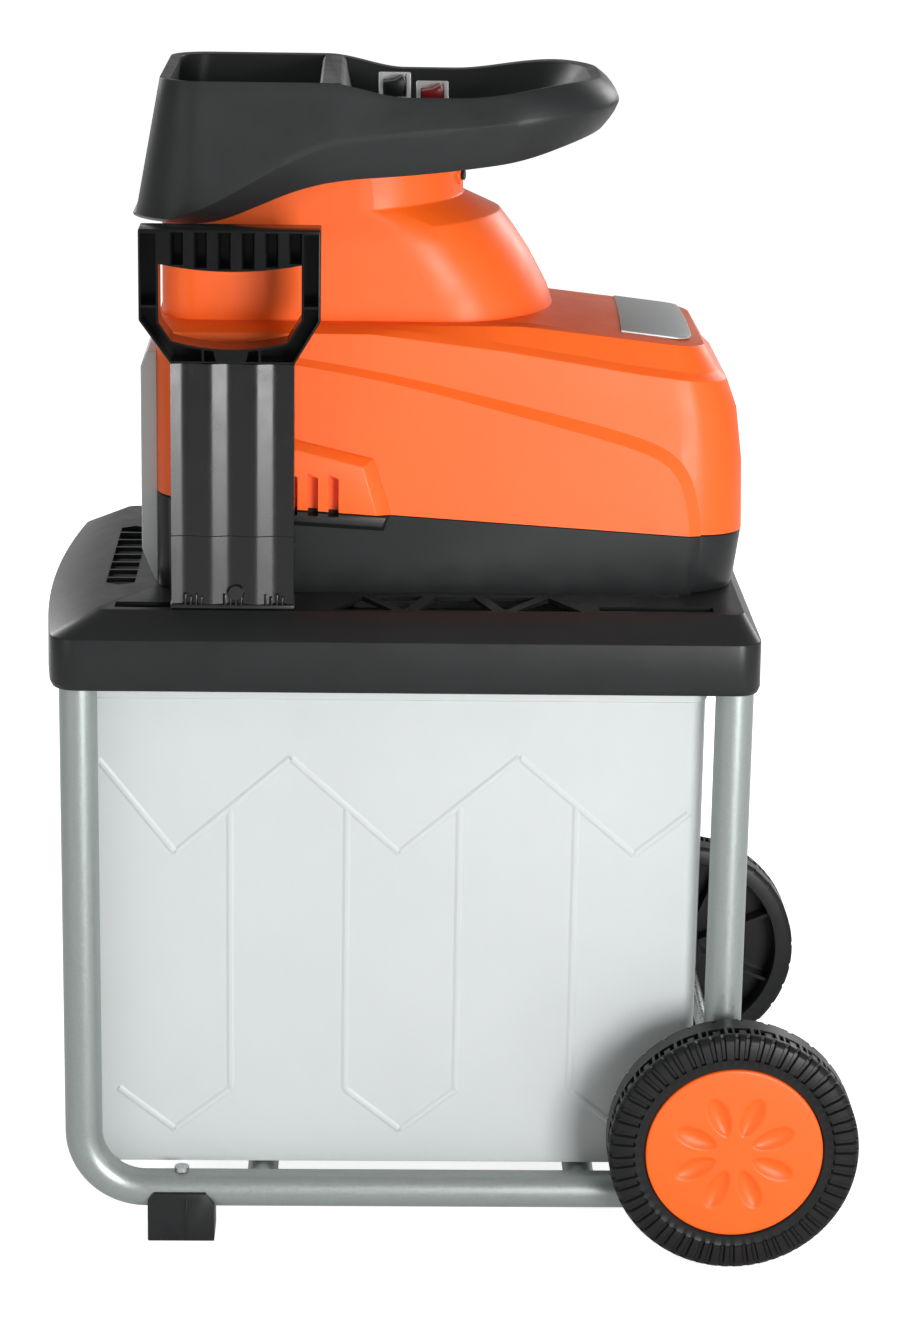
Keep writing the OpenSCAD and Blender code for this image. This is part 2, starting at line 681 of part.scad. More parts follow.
// The flank's crease falls from the nose, and drops to the skirt's edge at the front
crease_high_z = 892.4;
crease_slope = 0.115;
crease_step = 48;
crease_step_x = -145;
crease_step_l = 55;
function hopper_crease(x) = max(hopper_low(x) + 4, crease_high_z + crease_slope * x
    - crease_step * ease((crease_step_x - x) / crease_step_l));
function hopper_ring(xf, xr, b, rf, rr, z) = at(plan(xf, xr, b, rf, rr, hopper_stations), z);
function hopper_throat(grow, z) = at(plan(throat_front - grow, throat_rear + grow, throat_w / 2 + grow, 8, 8,
    [-205, -195, -185, -175, -165, -155, -145, -135]), z);
module hopper() {
    w = hopper_wall;
    b = rim_half_w;
    ridge_rear = throat_rear + 30;
    color(black) union() {
        skin([
            hopper_ring(-hopper_front, hopper_rear - 6, b - 6, 62, 88, function(x) hopper_low(x)),
            hopper_ring(-hopper_front + 4, hopper_rear, b + 4, 50, 92, function(x) hopper_crease(x)),
            hopper_ring(-hopper_front + 22, hopper_rear - 12, b + 1, 34, 86, function(x) rim(x) - 4),
            hopper_ring(-hopper_front + 24, hopper_rear - 15, b - 2, 32, 84, function(x) rim(x)),
            hopper_ring(-hopper_front + 24 + rim_w, hopper_rear - 15 - rim_w, b - 2 - rim_w, 26, 78,
                function(x) rim(x) - 1),
            hopper_ring(throat_front - 7, hopper_rear - 55, b - 16, 18, 60, tray_z),
            hopper_throat(0, tray_z),
            hopper_throat(0, throat_low_z),
            hopper_throat(w, throat_low_z),
            hopper_throat(w, tray_z - w),
            hopper_ring(throat_front - 7 - w, hopper_rear - 55 + w, b - 16 + w, 20, 62, tray_z - w),
            hopper_ring(-hopper_front + 24 + w, hopper_rear - 15 - w, b - 2 - w, 30, 80,
                function(x) rim(x) - 1 - 2 * w),
            hopper_ring(-hopper_front + 4 + w, hopper_rear - w, b + 4 - w, 48, 90,
                function(x) hopper_crease(x)),
            hopper_ring(-hopper_front + w, hopper_rear - 6 - w, b - 6 - w, 60, 86, function(x) hopper_low(x))
        ]);
        // Divider between the throat and the tray
        hull() prism_y([[throat_rear + 1, tray_z - 1], [throat_rear + 6, rim_z - 10],
            [throat_rear + 12, rim_z - 7], [throat_rear + 17, rim_z - 10], [ridge_rear, tray_z - 1]],
            -b + 13, b - 13);
        // Lugs inside the collar that take its screws
        at_hopper_screws() difference() {
            hull() {
                block(-14, -shell_wall - lug_gap, -6, 6, -8, 8);
                block(-12, -shell_wall - lug_gap - 1, -5, 5, 8, tray_z - hopper_screw_z - 1);
            }
            rod_x(-15, 0, 0, 0, hopper_screw_d + screw_gap);
        }
        // Ribs that stiffen the tray behind the collar
        for (y = [-60:30:60]) hull() {
            block(collar_rear + 8, hopper_rear - 80, y - 1, y + 1, tray_low_z - 9, tray_low_z + 1);
            block(collar_rear + 6, hopper_rear - 66, y - 1, y + 1, tray_low_z - 1, tray_low_z + 1);
        }
    }
}
module hopper_screws() {
    color(black) at_hopper_screws() {
        rod_x(-14, 1, 0, 0, hopper_screw_d);
        rod_x(0, 4, 0, 0, 2 * hopper_screw_d);
    }
}
module feed_chute() {
    w = hopper_wall;
    color(grey) difference() {
        slab(throat_front - w, throat_rear + w, -throat_w / 2 - w, throat_w / 2 + w,
            chute_low_z, throat_low_z, 8);
        slab(throat_front, throat_rear, -throat_w / 2, throat_w / 2,
            chute_low_z - 1, throat_low_z + 1, 8 - w);
    }
}

// Front panel: shallow cover with a sloped lower edge
panel_t = 13;
panel_half_w = 96;
panel_top_z = 712;
module front_panel() {
    x = -housing_front;
    low = deck_top_z + free_gap;
    color(grey) difference() {
        prism_y([[x, low], [x, panel_top_z], [x - panel_t + 4, panel_top_z], [x - panel_t, panel_top_z - 14],
            [x - panel_t, low + 26]], -panel_half_w, panel_half_w);
        for (s = [-1, 1]) translate([x - panel_t, s * panel_half_w, 0]) rotate(45)
            block(-5, 5, -5, 5, low - 1, panel_top_z + 1);
    }
}
plate_l = 58;
plate_half_w = 60;
module roof_plate() {
    color(silver) translate([roof_fall_x, 0, roof_z]) rotate([0, atan(roof_fall), 0])
        slab(46, 46 + plate_l, -plate_half_w, plate_half_w, 0, 1.2, 12);
}

// Control console on the tray, with two rockers and a reset button
console_y = -10;
console_half_w = 34;
console_front = throat_rear + 32;
console_l = 84;
console_rear = console_front + console_l;
console_high = 26;
console_low = 13;
function console_z(x) = tray_z + console_high
    - (console_high - console_low) * (x - console_front) / console_l;
rocker_r = 9;
direction_x = console_front + 32;
power_x = console_front + 62;
rocker_y = console_y - 6;
reset_y = console_y + 20;
reset_d = 9;
rocker_w = 20;
module rocker_box(x, w, rise) {
    z = console_z(x);
    difference() {
        block(x - rocker_r - 4, x + rocker_r + 4, rocker_y - w / 2 - 3, rocker_y + w / 2 + 3,
            z - 8, z + rise);
        block(x - rocker_r - free_gap, x + rocker_r + free_gap, rocker_y - w / 2 - free_gap,
            rocker_y + w / 2 + free_gap, z + rise - rocker_r - 2, z + rise + 1);
        rod_y(x, rocker_y - w / 2 - 2, rocker_y + w / 2 + 2, z + rise - 1, 4 + 2 * run_gap);
    }
}
direction_rise = 16;
power_rise = 14;
module control_panel() {
    color(grey) difference() {
        union() {
            prism_y([[console_front, tray_z], [console_rear, tray_z], [console_rear, console_z(console_rear)],
                [console_front, console_z(console_front)]],
                console_y - console_half_w, console_y + console_half_w);
            rocker_box(direction_x, rocker_w, direction_rise);
            rocker_box(power_x, rocker_w, power_rise);
            rod_z(direction_x, reset_y, tray_z + 5, console_z(direction_x) + 5, reset_d + 6);
        }
        for (p = [[direction_x, direction_rise], [power_x, power_rise]]) let (z = console_z(p[0]) + p[1]) {
            block(p[0] - rocker_r - free_gap, p[0] + rocker_r + free_gap, rocker_y - rocker_w / 2 - free_gap,
                rocker_y + rocker_w / 2 + free_gap, z - rocker_r - 2, z + 1);
            rod_y(p[0], rocker_y - rocker_w / 2 - 2, rocker_y + rocker_w / 2 + 2, z - 1, 4 + 2 * run_gap);
        }
        rod_z(direction_x, reset_y, tray_z + 8, console_z(direction_x) + 9, reset_d + 2 * run_gap);
    }
}
// A rocker stays inside its own turning circle, with two flats that meet over the pivot
module rocker(x, rise) {
    z = console_z(x) + rise - 1;
    intersection() {
        rod_y(x, rocker_y - rocker_w / 2, rocker_y + rocker_w / 2, z, 2 * rocker_r);
        prism_y([[x - rocker_r, z - 5], [x + rocker_r, z - 5], [x + rocker_r, z + 6.5], [x, z + 3],
            [x - rocker_r, z + 2]], rocker_y - rocker_w, rocker_y + rocker_w);
    }
    rod_y(x, rocker_y - rocker_w / 2 - 1.8, rocker_y + rocker_w / 2 + 1.8, z, 4);
}
module power_switch() color("#b3261e") rocker(power_x, power_rise);
module direction_switch() color(black) rocker(direction_x, direction_rise);
module reset_button() {
    color("#6f8794") rod_z(direction_x, reset_y, tray_z + 12, console_z(direction_x) + 9, reset_d);
}

// Power inlet in the lower housing's rear wall
inlet_y = 45;
inlet_w = 34;
inlet_h = 26;
inlet_z = floor_z + 24;
module power_inlet() {
    x = housing_rear - 20;
    y0 = inlet_y - inlet_w / 2;
    y1 = inlet_y + inlet_w / 2;
    color(black) {
        difference() {
            block(x, housing_rear + 2, y0, y1, inlet_z - inlet_h / 2, inlet_z + inlet_h / 2);
            block(x + 4, housing_rear + 3, y0 + 3, y1 - 3,
                inlet_z - inlet_h / 2 + 3, inlet_z + inlet_h / 2 - 3);
        }
        for (y = [-8, 0, 8]) block(x + 3, housing_rear - 2, inlet_y + y - 1, inlet_y + y + 1,
            inlet_z - (y == 0 ? -3 : 3) - 2.5, inlet_z - (y == 0 ? -3 : 3) + 2.5);
    }
}

// Cutter chamber

knob_z = roller_z + 12;
boss_out = 12;
bush_d = 32;
module cutter_housing() {
    half = throat_w / 2;
    color(steel) difference() {
        union() {
            block(chamber_front, chamber_rear, -chamber_half_w, chamber_half_w, floor_z, chute_low_z);
            rod_y(roller_mid_x, chamber_half_w - 1, chamber_half_w + boss_out, knob_z, screw_d + 14);
        }
        block(chip_front, chip_rear, -half, half, floor_z - 1, chute_low_z - 12);
        block(throat_front, throat_rear, -half, half, chute_low_z - 13, chute_low_z + 1);
        rod_x(chamber_front - 1, chip_front + 1, 0, roller_z, bush_d);
        rod_x(chip_rear - 1, chamber_rear + 1, 0, roller_z, shaft_d + 2);
        rod_y(roller_mid_x, half - 1, chamber_half_w + boss_out + 1, knob_z, screw_d + 2 * run_gap);
    }
}
bush_front = chamber_front - 3;
module cutter_bush() {
    color(brass) difference() {
        rod_x(bush_front, chip_front, 0, roller_z, bush_d);
        rod_x(bush_front - 1, chip_front + 1, 0, roller_z, shaft_d + 2 * run_gap);
    }
}
tooth_depth = 9;
module cutting_roller() {
    r = roller_d / 2;
    color(steel) difference() {
        prism_x([for (i = [0:roller_teeth - 1], q = [[0, r], [0.2, r], [0.35, r - tooth_depth],
            [0.95, r - tooth_depth]]) let (a = 360 / roller_teeth * (i + q[0]))
            [q[1] * cos(a), roller_z + q[1] * sin(a)]],
            roller_mid_x - roller_l / 2, roller_mid_x + roller_l / 2);
        rod_x(roller_mid_x - roller_l, roller_mid_x + roller_l, 0, roller_z, shaft_d);
    }
}
module output_shaft() {
    color(steel) rod_x(bush_front, case_rear + output_bearing[1] - free_gap, 0, roller_z, shaft_d);
}
module ring_x(x, w, y, z, d, bore) {
    difference() {
        rod_x(x, x + w, y, z, d);
        rod_x(x - 1, x + w + 1, y, z, bore);
    }
}

// Straight-cut teeth with wide backlash, centred on +X of the gear's own plane when turned by 0
function tooth_points(count, m, turn) = let (p = 360 / count, r = count * m / 2)
    [for (i = [0:count - 1]) each [for (q = [[-0.29, -0.95], [-0.13, 0.7], [0.13, 0.7], [0.29, -0.95]])
        let (a = turn + p * (i + q[0]), d = r + q[1] * m) [d * cos(a), d * sin(a)]]];
module gear(x, w, y, z, count, m, turn) {
    translate([x, y, z]) rotate([90, 0, 90]) linear_extrude(w) polygon(tooth_points(count, m, turn));
}
// Angle of the line from one axis to another, in the gears' plane
function bearing_angle(dy, dz) = atan2(dz, dy);
output_line = bearing_angle(counter_y, counter_z - roller_z);
motor_line = bearing_angle(counter_y, counter_z - motor_z);
pair_w = 18;
gear_front = chamber_rear + case_wall + 10;
stage_front = gear_front + pair_w + 6;
stage_w = 12;
module output_gear() {
    color(steel) difference() {
        gear(gear_front, pair_w, 0, roller_z, gear_teeth, output_module, output_line);
        rod_x(gear_front - 1, gear_front + pair_w + 1, 0, roller_z, shaft_d);
    }
}
module bearing_pair(xs, w, y, z, d, bore) {
    color(steel) for (x = xs) ring_x(x, w, y, z, d, bore + 2 * run_gap);
}
module output_bearings() {
    bearing_pair([chamber_rear + 2, case_rear], output_bearing[1], 0, roller_z, output_bearing[0], shaft_d);
}
module countershaft() {
    color(steel) {
        rod_x(chamber_rear + 2 + free_gap, case_rear + counter_bearing[1] - free_gap, counter_y, counter_z,
            counter_d);
        gear(gear_front - 1, pair_w + 2, counter_y, counter_z, pinion_teeth, output_module,
            output_line + 180 + 180 / pinion_teeth);
    }
}
module counter_gear() {
    color(steel) difference() {
        gear(stage_front, stage_w, counter_y, counter_z, gear_teeth, motor_module, motor_line + 180);
        rod_x(stage_front - 1, stage_front + stage_w + 1, counter_y, counter_z, counter_d);
    }
}
module countershaft_bearings() {
    bearing_pair([chamber_rear + 2, case_rear], counter_bearing[1], counter_y, counter_z,
        counter_bearing[0], counter_d);
}
case_left = 60;
case_right = -90;
case_top = motor_z + 48;
case_low = roller_z - 56;
module gear_case() {
    w = case_wall;
    x = chamber_rear;
    color(steel) {
        difference() {
            union() {
                block(x, case_rear, case_right, case_left, case_low, case_top);
                for (y = [case_right + 10, case_left - 34])
                    block(x, case_rear, y, y + 24, floor_z, case_low + 1);
            }
            block(x + w, case_rear + 1, case_right + w, case_left - w, case_low + w, case_top - w);
            rod_x(x + 2, x + w + 1, 0, roller_z, output_bearing[0]);
            rod_x(x - 1, x + w, 0, roller_z, shaft_d + 2);
            rod_x(x + 2, x + w + 1, counter_y, counter_z, counter_bearing[0]);
        }
        ring_x(x + w, output_bearing[1] + 2 - w, 0, roller_z, output_bearing[0] + 8, output_bearing[0]);
        ring_x(x + w, counter_bearing[1] + 2 - w, counter_y, counter_z, counter_bearing[0] + 8,
            counter_bearing[0]);
    }
}

// Motor

bolt_r = stator_d / 2 - 5;
bolt_d = 5;
bolt_turns = [45, 135, 225, 315];
module at_bolts() {
    for (a = bolt_turns) translate([0, bolt_r * cos(a), motor_z + bolt_r * sin(a)]) children();
}
module gear_cover() {
    color(steel) {
        difference() {
            union() {
                block(case_rear, cover_rear - 4, case_right, case_left, case_low, case_top);
                rod_x(case_rear, cover_rear, 0, motor_z, stator_d);
                rod_x(case_rear, cover_rear, 0, roller_z, output_bearing[0] + 8);
            }
            rod_x(case_rear - 1, case_rear + rotor_bearing[1], 0, motor_z, rotor_bearing[0]);
            rod_x(case_rear, cover_rear + 1, 0, motor_z, rotor_bearing[0] - 6);
            rod_x(case_rear - 1, case_rear + output_bearing[1], 0, roller_z, output_bearing[0]);
            rod_x(case_rear - 1, case_rear + counter_bearing[1], counter_y, counter_z, counter_bearing[0]);
            at_bolts() rod_x(case_rear - 1, cover_rear + 1, 0, 0, bolt_d);
        }
        motor_bell(cover_rear, bell_l);
    }
}
module motor_bell(x, l) {
    difference() {
        rod_x(x, x + l, 0, motor_z, stator_d);
        rod_x(x - 1, x + l + 1, 0, motor_z, 2 * bolt_r - bolt_d - 6);
        at_bolts() rod_x(x - 1, x + l + 1, 0, 0, bolt_d);
    }
}
pinion_l = stage_w + 2;
fan_x = shield_rear + 8;
fan_w = 16;
module rotor_shaft() {
    color(steel) {
        gear(stage_front - 1, pinion_l, 0, motor_z, pinion_teeth, motor_module,
            motor_line + 180 / pinion_teeth);
        rod_x(stage_front - 1, case_rear, 0, motor_z, motor_module * pinion_teeth - 3);
        rod_x(case_rear, fan_x + fan_w, 0, motor_z, rotor_shaft_d);
    }
}
rotor_bore = rotor_shaft_d;
module rotor_core() {
    color(steel) ring_x(stator_front, stator_l, 0, motor_z, rotor_d, rotor_bore);
}
module rotor_bearings() {
    bearing_pair([case_rear, shield_front], rotor_bearing[1], 0, motor_z, rotor_bearing[0], rotor_shaft_d);
}
module stator_core() {
    color(steel) difference() {
        rod_x(stator_front, stator_rear, 0, motor_z, stator_d);
        rod_x(stator_front - 1, stator_rear + 1, 0, motor_z, rotor_d + 2 * free_gap);
        at_bolts() rod_x(stator_front - 1, stator_rear + 1, 0, 0, bolt_d);
    }
}
winding_d = 2 * bolt_r - bolt_d - 10;
module stator_windings() {
    color("#a8592a") for (x = [stator_front - 13, stator_rear])
        ring_x(x, 13, 0, motor_z, winding_d, rotor_d + 6);
}
module rear_shield() {
    color(steel) {
        difference() {
            union() {
                rod_x(shield_front, shield_rear, 0, motor_z, stator_d);
                block(shield_front, shield_rear, -24, 24, floor_z, motor_z - stator_d / 3);
            }
            rod_x(shield_front - 1, shield_rear + 1, 0, motor_z, rotor_bearing[0]);
            at_bolts() rod_x(shield_front - 1, shield_rear + 1, 0, 0, bolt_d);
        }
        motor_bell(stator_rear, shield_front - stator_rear);
    }
}
module motor_bolts() {
    color(steel) at_bolts() {
        rod_x(case_rear, shield_rear + 0.5, 0, 0, bolt_d);
        rod_x(shield_rear, shield_rear + 4, 0, 0, 1.8 * bolt_d);
    }
}
fan_d = 100;
fan_blades = 8;
module fan() {
    color(black) difference() {
        union() {
            rod_x(fan_x, fan_x + fan_w, 0, motor_z, rotor_shaft_d + 12);
            rod_x(fan_x + 1, fan_x + 4, 0, motor_z, fan_d);
            for (i = [0:fan_blades - 1])
                translate([fan_x, 0, motor_z]) rotate([360 * (i + 0.5) / fan_blades, 0, 0])
                block(2, fan_w - 1, -1.5, 1.5, rotor_shaft_d / 2 + 3, fan_d / 2 - 2);
        }
        rod_x(fan_x - 1, fan_x + fan_w + 1, 0, motor_z, rotor_shaft_d);
    }
}
capacitor_d = 40;
module run_capacitor() {
    color(pale) rod_x(stator_front, stator_front + 82, 86, floor_z + capacitor_d / 2, capacitor_d);
}

// Pressure plate and its adjuster

plate_y = roller_d / 2 + plate_gap;
plate_t = 9;
plate_boss = throat_w / 2 - plate_y - plate_t - plate_travel - plate_clear;
plate_end = plate_y + plate_t + plate_boss;
module pressure_plate() {
    color(steel) difference() {
        union() {
            block(roller_mid_x - roller_l / 2, roller_mid_x + roller_l / 2, plate_y, plate_y + plate_t,
                roller_z - 34, roller_z + 50);
            rod_y(roller_mid_x, plate_y + plate_t - 1, plate_end, knob_z, screw_d + 12);
        }
        rod_y(roller_mid_x, plate_y + 4, plate_end + 1, knob_z, screw_d + 2 * run_gap);
    }
}
knob_y = housing_half_w + 3;
knob_t = 20;
module adjusting_screw() {
    color(steel) rod_y(roller_mid_x, plate_end - 6, knob_y + knob_t - 6, knob_z, screw_d);
}
knob_lobes = 6;
module adjuster_knob() {
    color(black) difference() {
        union() {
            rod_y(roller_mid_x, knob_y, knob_y + knob_t, knob_z, knob_d - 8);
            for (i = [0:knob_lobes - 1]) let (a = 360 * i / knob_lobes)
                rod_y(roller_mid_x + (knob_d / 2 - 8) * cos(a), knob_y, knob_y + knob_t,
                    knob_z + (knob_d / 2 - 8) * sin(a), 16);
        }
        rod_y(roller_mid_x, knob_y - 1, knob_y + knob_t - 6, knob_z, screw_d);
    }
}
chute_flange = 9;
chute_drop = 58;
module discharge_chute() {
    w = chute_wall;
    h = chip_half_w;
    color(black) difference() {
        union() {
            slab(chip_front - w, chip_rear + w, -h - w, h + w, deck_top_z - chute_drop, floor_z, 8);
            slab(chip_front - chute_flange, chip_rear + chute_flange, -h - chute_flange, h + chute_flange,
                deck_top_z, floor_z, 8);
        }
        slab(chip_front, chip_rear, -h, h, deck_top_z - chute_drop - 1, floor_z + 1, 6);
    }
}

// Collection box with its lock, and the switch that the lock works

box_lip = 12;
module box_form(inset, z0, z1) {
    slab(box_front + inset, box_rear - inset, -box_half_w + inset, box_half_w - inset, z0, z1,
        box_corner_r - inset);
}
rib_xs = [-176, -83, 7, 100];
zigzag = [[-220, 320], [-128, 400], [-41, 321], [54, 402], [147, 321], [190, 352]];
module rib_line(p, q) {
    translate([p[0], -box_half_w + 0.3, p[1]]) rotate([0, -atan2(q[1] - p[1], q[0] - p[0]), 0])
        translate([0, 0, -2]) cube([norm(q - p), 1.7, 4]);
}
guide_t = 4;
module collection_box() {
    w = box_wall;
    color(pale) {
        difference() {
            union() {
                box_form(1.5, box_low_z, box_top_z);
                box_form(0, box_top_z - 12, box_top_z);
                each_side() {
                    for (x = rib_xs) block(x - 2, x + 2, -box_half_w + 0.3, -box_half_w + 2,
                        box_low_z + 55, box_low_z + 300);
                    for (i = [0:len(zigzag) - 2]) rib_line(zigzag[i], zigzag[i + 1]);
                }
            }
            box_form(1.5 + w, box_low_z + w, box_top_z + 1);
        }
        // Pull ledge across the front
        slab(box_front - box_lip, box_front + 2, -70, 70, box_top_z - 6, box_top_z - 2, 1.5);
        // Guides that hook over the lock's edges
        for (s = [-1, 1]) translate([0, lock_y + s * (lock_w / 2 + free_gap + guide_t / 2), 0]) {
            block(lock_x - 4 - free_gap, box_front + 2, -guide_t / 2, guide_t / 2,
                box_top_z - 34, box_top_z - 4);
            translate([0, -s * 1.5, 0])
                block(lock_x - 6 - free_gap, lock_x - 4 - free_gap, -guide_t / 2 - 1.5, guide_t / 2 + 1.5,
                    box_top_z - 34, box_top_z - 4);
        }
    }
}
lock_y = 118;
lock_w = 34;
lock_h = 40;
lock_travel = 12;
lock_x = box_front - free_gap;
switch_x = lock_x - 4;
switch_l = 22;
switch_top_z = deck_skirt_z - 1;
module box_lock() {
    x = lock_x;
    color("#b3261e") {
        block(x - 4, x, lock_y - lock_w / 2, lock_y + lock_w / 2, box_top_z - lock_h, box_top_z);
        for (i = [0:3]) block(x - 7, x - 3, lock_y - lock_w / 2 + 5, lock_y + lock_w / 2 - 5,
            box_top_z - lock_h + 5 + 6 * i, box_top_z - lock_h + 8 + 6 * i);
    }
}
module box_switch() {
    color(black) {
        block(switch_x, switch_x + switch_l, lock_y - 12, lock_y + 12, switch_top_z - 26, switch_top_z);
        rod_z(lock_x - 2, lock_y, box_top_z + lock_travel + free_gap, switch_top_z - 25, 3.6);
    }
}

// Plunger standing on the deck

// Three rounded flutes run up the blade's face
flute_pitch = 33;
flute_depth = 5;
flute_first = 7;
waves = 30;
function flute(u) = flute_depth / 2 * (1 - cos(360 * (u - flute_first) / flute_pitch));
module plunger_blade() {
    w = plunger_wall;
    x0 = blade_x - blade_w / 2;
    x1 = blade_x + blade_w / 2;
    y0 = blade_front_y;
    z0 = deck_top_z + free_gap;
    outer = [for (i = [0:waves]) [x0 + blade_w * i / waves, y0 + flute(blade_w * i / waves)]];
    inner = [for (i = [waves - 1:-1:1]) [x0 + blade_w * i / waves, y0 + w + flute(blade_w * i / waves)]];
    color(black) {
        translate([0, 0, z0]) linear_extrude(blade_h) polygon(concat(
            [[x0, y0 + blade_d]], outer, [[x1, y0 + blade_d], [x1 - w, y0 + blade_d]],
            inner, [[x0 + w, y0 + blade_d]]));
        slab(x0 - 1, x1 + 1, y0 - 1, y0 + blade_d + 1, z0, z0 + 4, 2);
        for (i = [1:3]) let (z = z0 + blade_h * i / 4)
            block(x0 + w / 2, x1 - w / 2, y0 + flute_depth + 1, y0 + blade_d - 4, z, z + 2);
        block(x0 + 8, x1 - 12, slot_y - tongue_d / 2, slot_y + tongue_d / 2, z0 - 14, z0 + 1);
    }
}
grip_h = 26;
arm_w = 16;
handle_depth = 32;
module plunger_handle() {
    x0 = blade_x - handle_w / 2 - 2;
    x1 = blade_x + handle_w / 2 - 2;
    s0 = blade_x - blade_w / 2;
    s1 = blade_x + blade_w / 2;
    z0 = deck_top_z + free_gap + blade_h;
    z1 = z0 + handle_h;
    y0 = blade_front_y + 1;
    y1 = y0 + handle_depth;
    inner_low = z0 + 14;
    color(black) difference() {
        prism_y([[s0, z0], [s1, z0], [x1, z0 + 37], [x1, z1], [x0, z1], [x0, z0 + 37]], y0, y1);
        // Finger gap with a curved floor
        prism_y(concat(
            [for (i = [0:8]) let (u = i / 8) [x0 + arm_w + 14 + (x1 - x0 - 2 * arm_w - 28) * u,
                inner_low + 8 * pow(2 * u - 1, 2)]],
            [[x1 - arm_w, z0 + 42], [x1 - arm_w, z1 - grip_h],
                [x0 + arm_w, z1 - grip_h], [x0 + arm_w, z0 + 42]]),
            y0 - 1, y1 + 1);
        // Grip slots, open at the front and the back
        for (i = [0:6]) let (x = x0 + arm_w + 8 + (x1 - x0 - 2 * arm_w - 16) * i / 6)
            block(x - 3, x + 3, y0 - 1, y1 + 1, z1 - grip_h + 5, z1 - 5);
        // Hollow backs of the arms
        for (x = [x0, x1 - arm_w]) block(x + 3, x + arm_w - 3, y0 + 4, y1 + 1, z0 + 44, z1 - 4);
    }
}

right_frame_tube();
left_frame_tube();
front_cross_tube();
rear_cross_tube();
axle();
axle_clips();
right_wheel();
left_wheel();
right_hub_cap();
left_hub_cap();
right_foot();
left_foot();
foot_screws();
deck();
frame_bolts();
lower_housing();
upper_housing();
housing_screws();
feed_cowl();
hopper();
hopper_screws();
feed_chute();
front_panel();
roof_plate();
control_panel();
power_switch();
direction_switch();
reset_button();
power_inlet();
cutter_housing();
cutter_bush();
cutting_roller();
output_shaft();
output_gear();
output_bearings();
gear_case();
countershaft();
counter_gear();
countershaft_bearings();
gear_cover();
rotor_shaft();
rotor_core();
rotor_bearings();
stator_core();
stator_windings();
rear_shield();
motor_bolts();
fan();
run_capacitor();
pressure_plate();
adjusting_screw();
adjuster_knob();
discharge_chute();
collection_box();
box_lock();
box_switch();
plunger_blade();
plunger_handle();
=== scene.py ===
# %% [markdown]
# # Garden shredder
# An electric roller shredder: an orange housing on a black deck, a tray hopper on top, a push plunger
# parked at the side, a milky chip box and a silver tube frame with two wheels. The CAD solids come in
# first as a fixed frame. They carry the joints, and every visible moulding is modelled over them.

# %% Load the frame
import json
import math

import bmesh
import bpy
from mathutils import Matrix, Vector


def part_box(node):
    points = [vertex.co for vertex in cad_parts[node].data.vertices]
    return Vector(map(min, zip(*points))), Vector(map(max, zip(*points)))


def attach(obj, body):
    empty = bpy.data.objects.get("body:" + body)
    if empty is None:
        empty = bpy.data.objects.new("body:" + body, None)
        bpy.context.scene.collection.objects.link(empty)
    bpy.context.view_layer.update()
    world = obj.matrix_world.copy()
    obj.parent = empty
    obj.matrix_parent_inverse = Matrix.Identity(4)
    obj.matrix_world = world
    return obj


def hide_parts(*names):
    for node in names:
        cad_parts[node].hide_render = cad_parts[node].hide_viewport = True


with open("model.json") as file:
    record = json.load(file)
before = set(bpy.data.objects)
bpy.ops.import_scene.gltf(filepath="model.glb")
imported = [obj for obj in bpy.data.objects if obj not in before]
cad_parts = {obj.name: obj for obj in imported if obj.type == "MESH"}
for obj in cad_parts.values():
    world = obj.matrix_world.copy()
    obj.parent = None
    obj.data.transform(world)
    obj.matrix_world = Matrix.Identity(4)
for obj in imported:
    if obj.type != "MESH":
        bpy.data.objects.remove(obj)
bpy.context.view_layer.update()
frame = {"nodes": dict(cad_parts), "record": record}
MM = 0.001

# %% [markdown]
# ## Working by hand, in code
# Operators act on whatever is selected, so each step starts by letting go of everything. Most of this
# machine is injection moulded, and a moulding is easiest to build as a loft: a circle is added, extruded
# ring after ring, and each ring is moved to its outline. Every vertex remembers its place in the ring, so
# the copy that an extrude makes knows where to go.

# %% Loft
def let_go():
    if bpy.context.mode != "OBJECT":
        bpy.ops.object.mode_set(mode="OBJECT")
    bpy.ops.object.select_all(action="DESELECT")


def hold(obj):
    let_go()
    obj.select_set(True)
    bpy.context.view_layer.objects.active = obj


def loft(name, rings, loop=False):
    """Rings of equal length in millimetres. A loop ends in its first ring, and an open loft is capped."""
    let_go()
    bpy.ops.mesh.primitive_circle_add(vertices=len(rings[0]))
    obj = bpy.context.active_object
    obj.name = obj.data.name = name
    bpy.ops.object.mode_set(mode="EDIT")
    mesh = bmesh.from_edit_mesh(obj.data)
    place = mesh.verts.layers.int.new("place")
    for vert in mesh.verts:
        vert[place] = vert.index
    for step, ring in enumerate(list(rings) + ([rings[0]] if loop else [])):
        if step:
            bpy.ops.mesh.extrude_edges_move()
        mesh = bmesh.from_edit_mesh(obj.data)
        place = mesh.verts.layers.int["place"]
        for vert in mesh.verts:
            if vert.select:
                vert.co = Vector(ring[vert[place]]) * MM
        bmesh.update_edit_mesh(obj.data)
    bpy.ops.mesh.select_all(action="SELECT")
    if loop:
        bpy.ops.mesh.remove_doubles(threshold=0.01 * MM)
    else:
        bpy.ops.mesh.fill_holes(sides=0)
    bpy.ops.mesh.normals_make_consistent(inside=False)
    bpy.ops.object.mode_set(mode="OBJECT")
    obj.data.attributes.remove(obj.data.attributes["place"])
    return obj


# %% [markdown]
# The other helpers are the small moves that come back on every piece: apply a modifier, round the sharp
# edges, place a block, carry a side outline across, and join, cut or fuse solids.

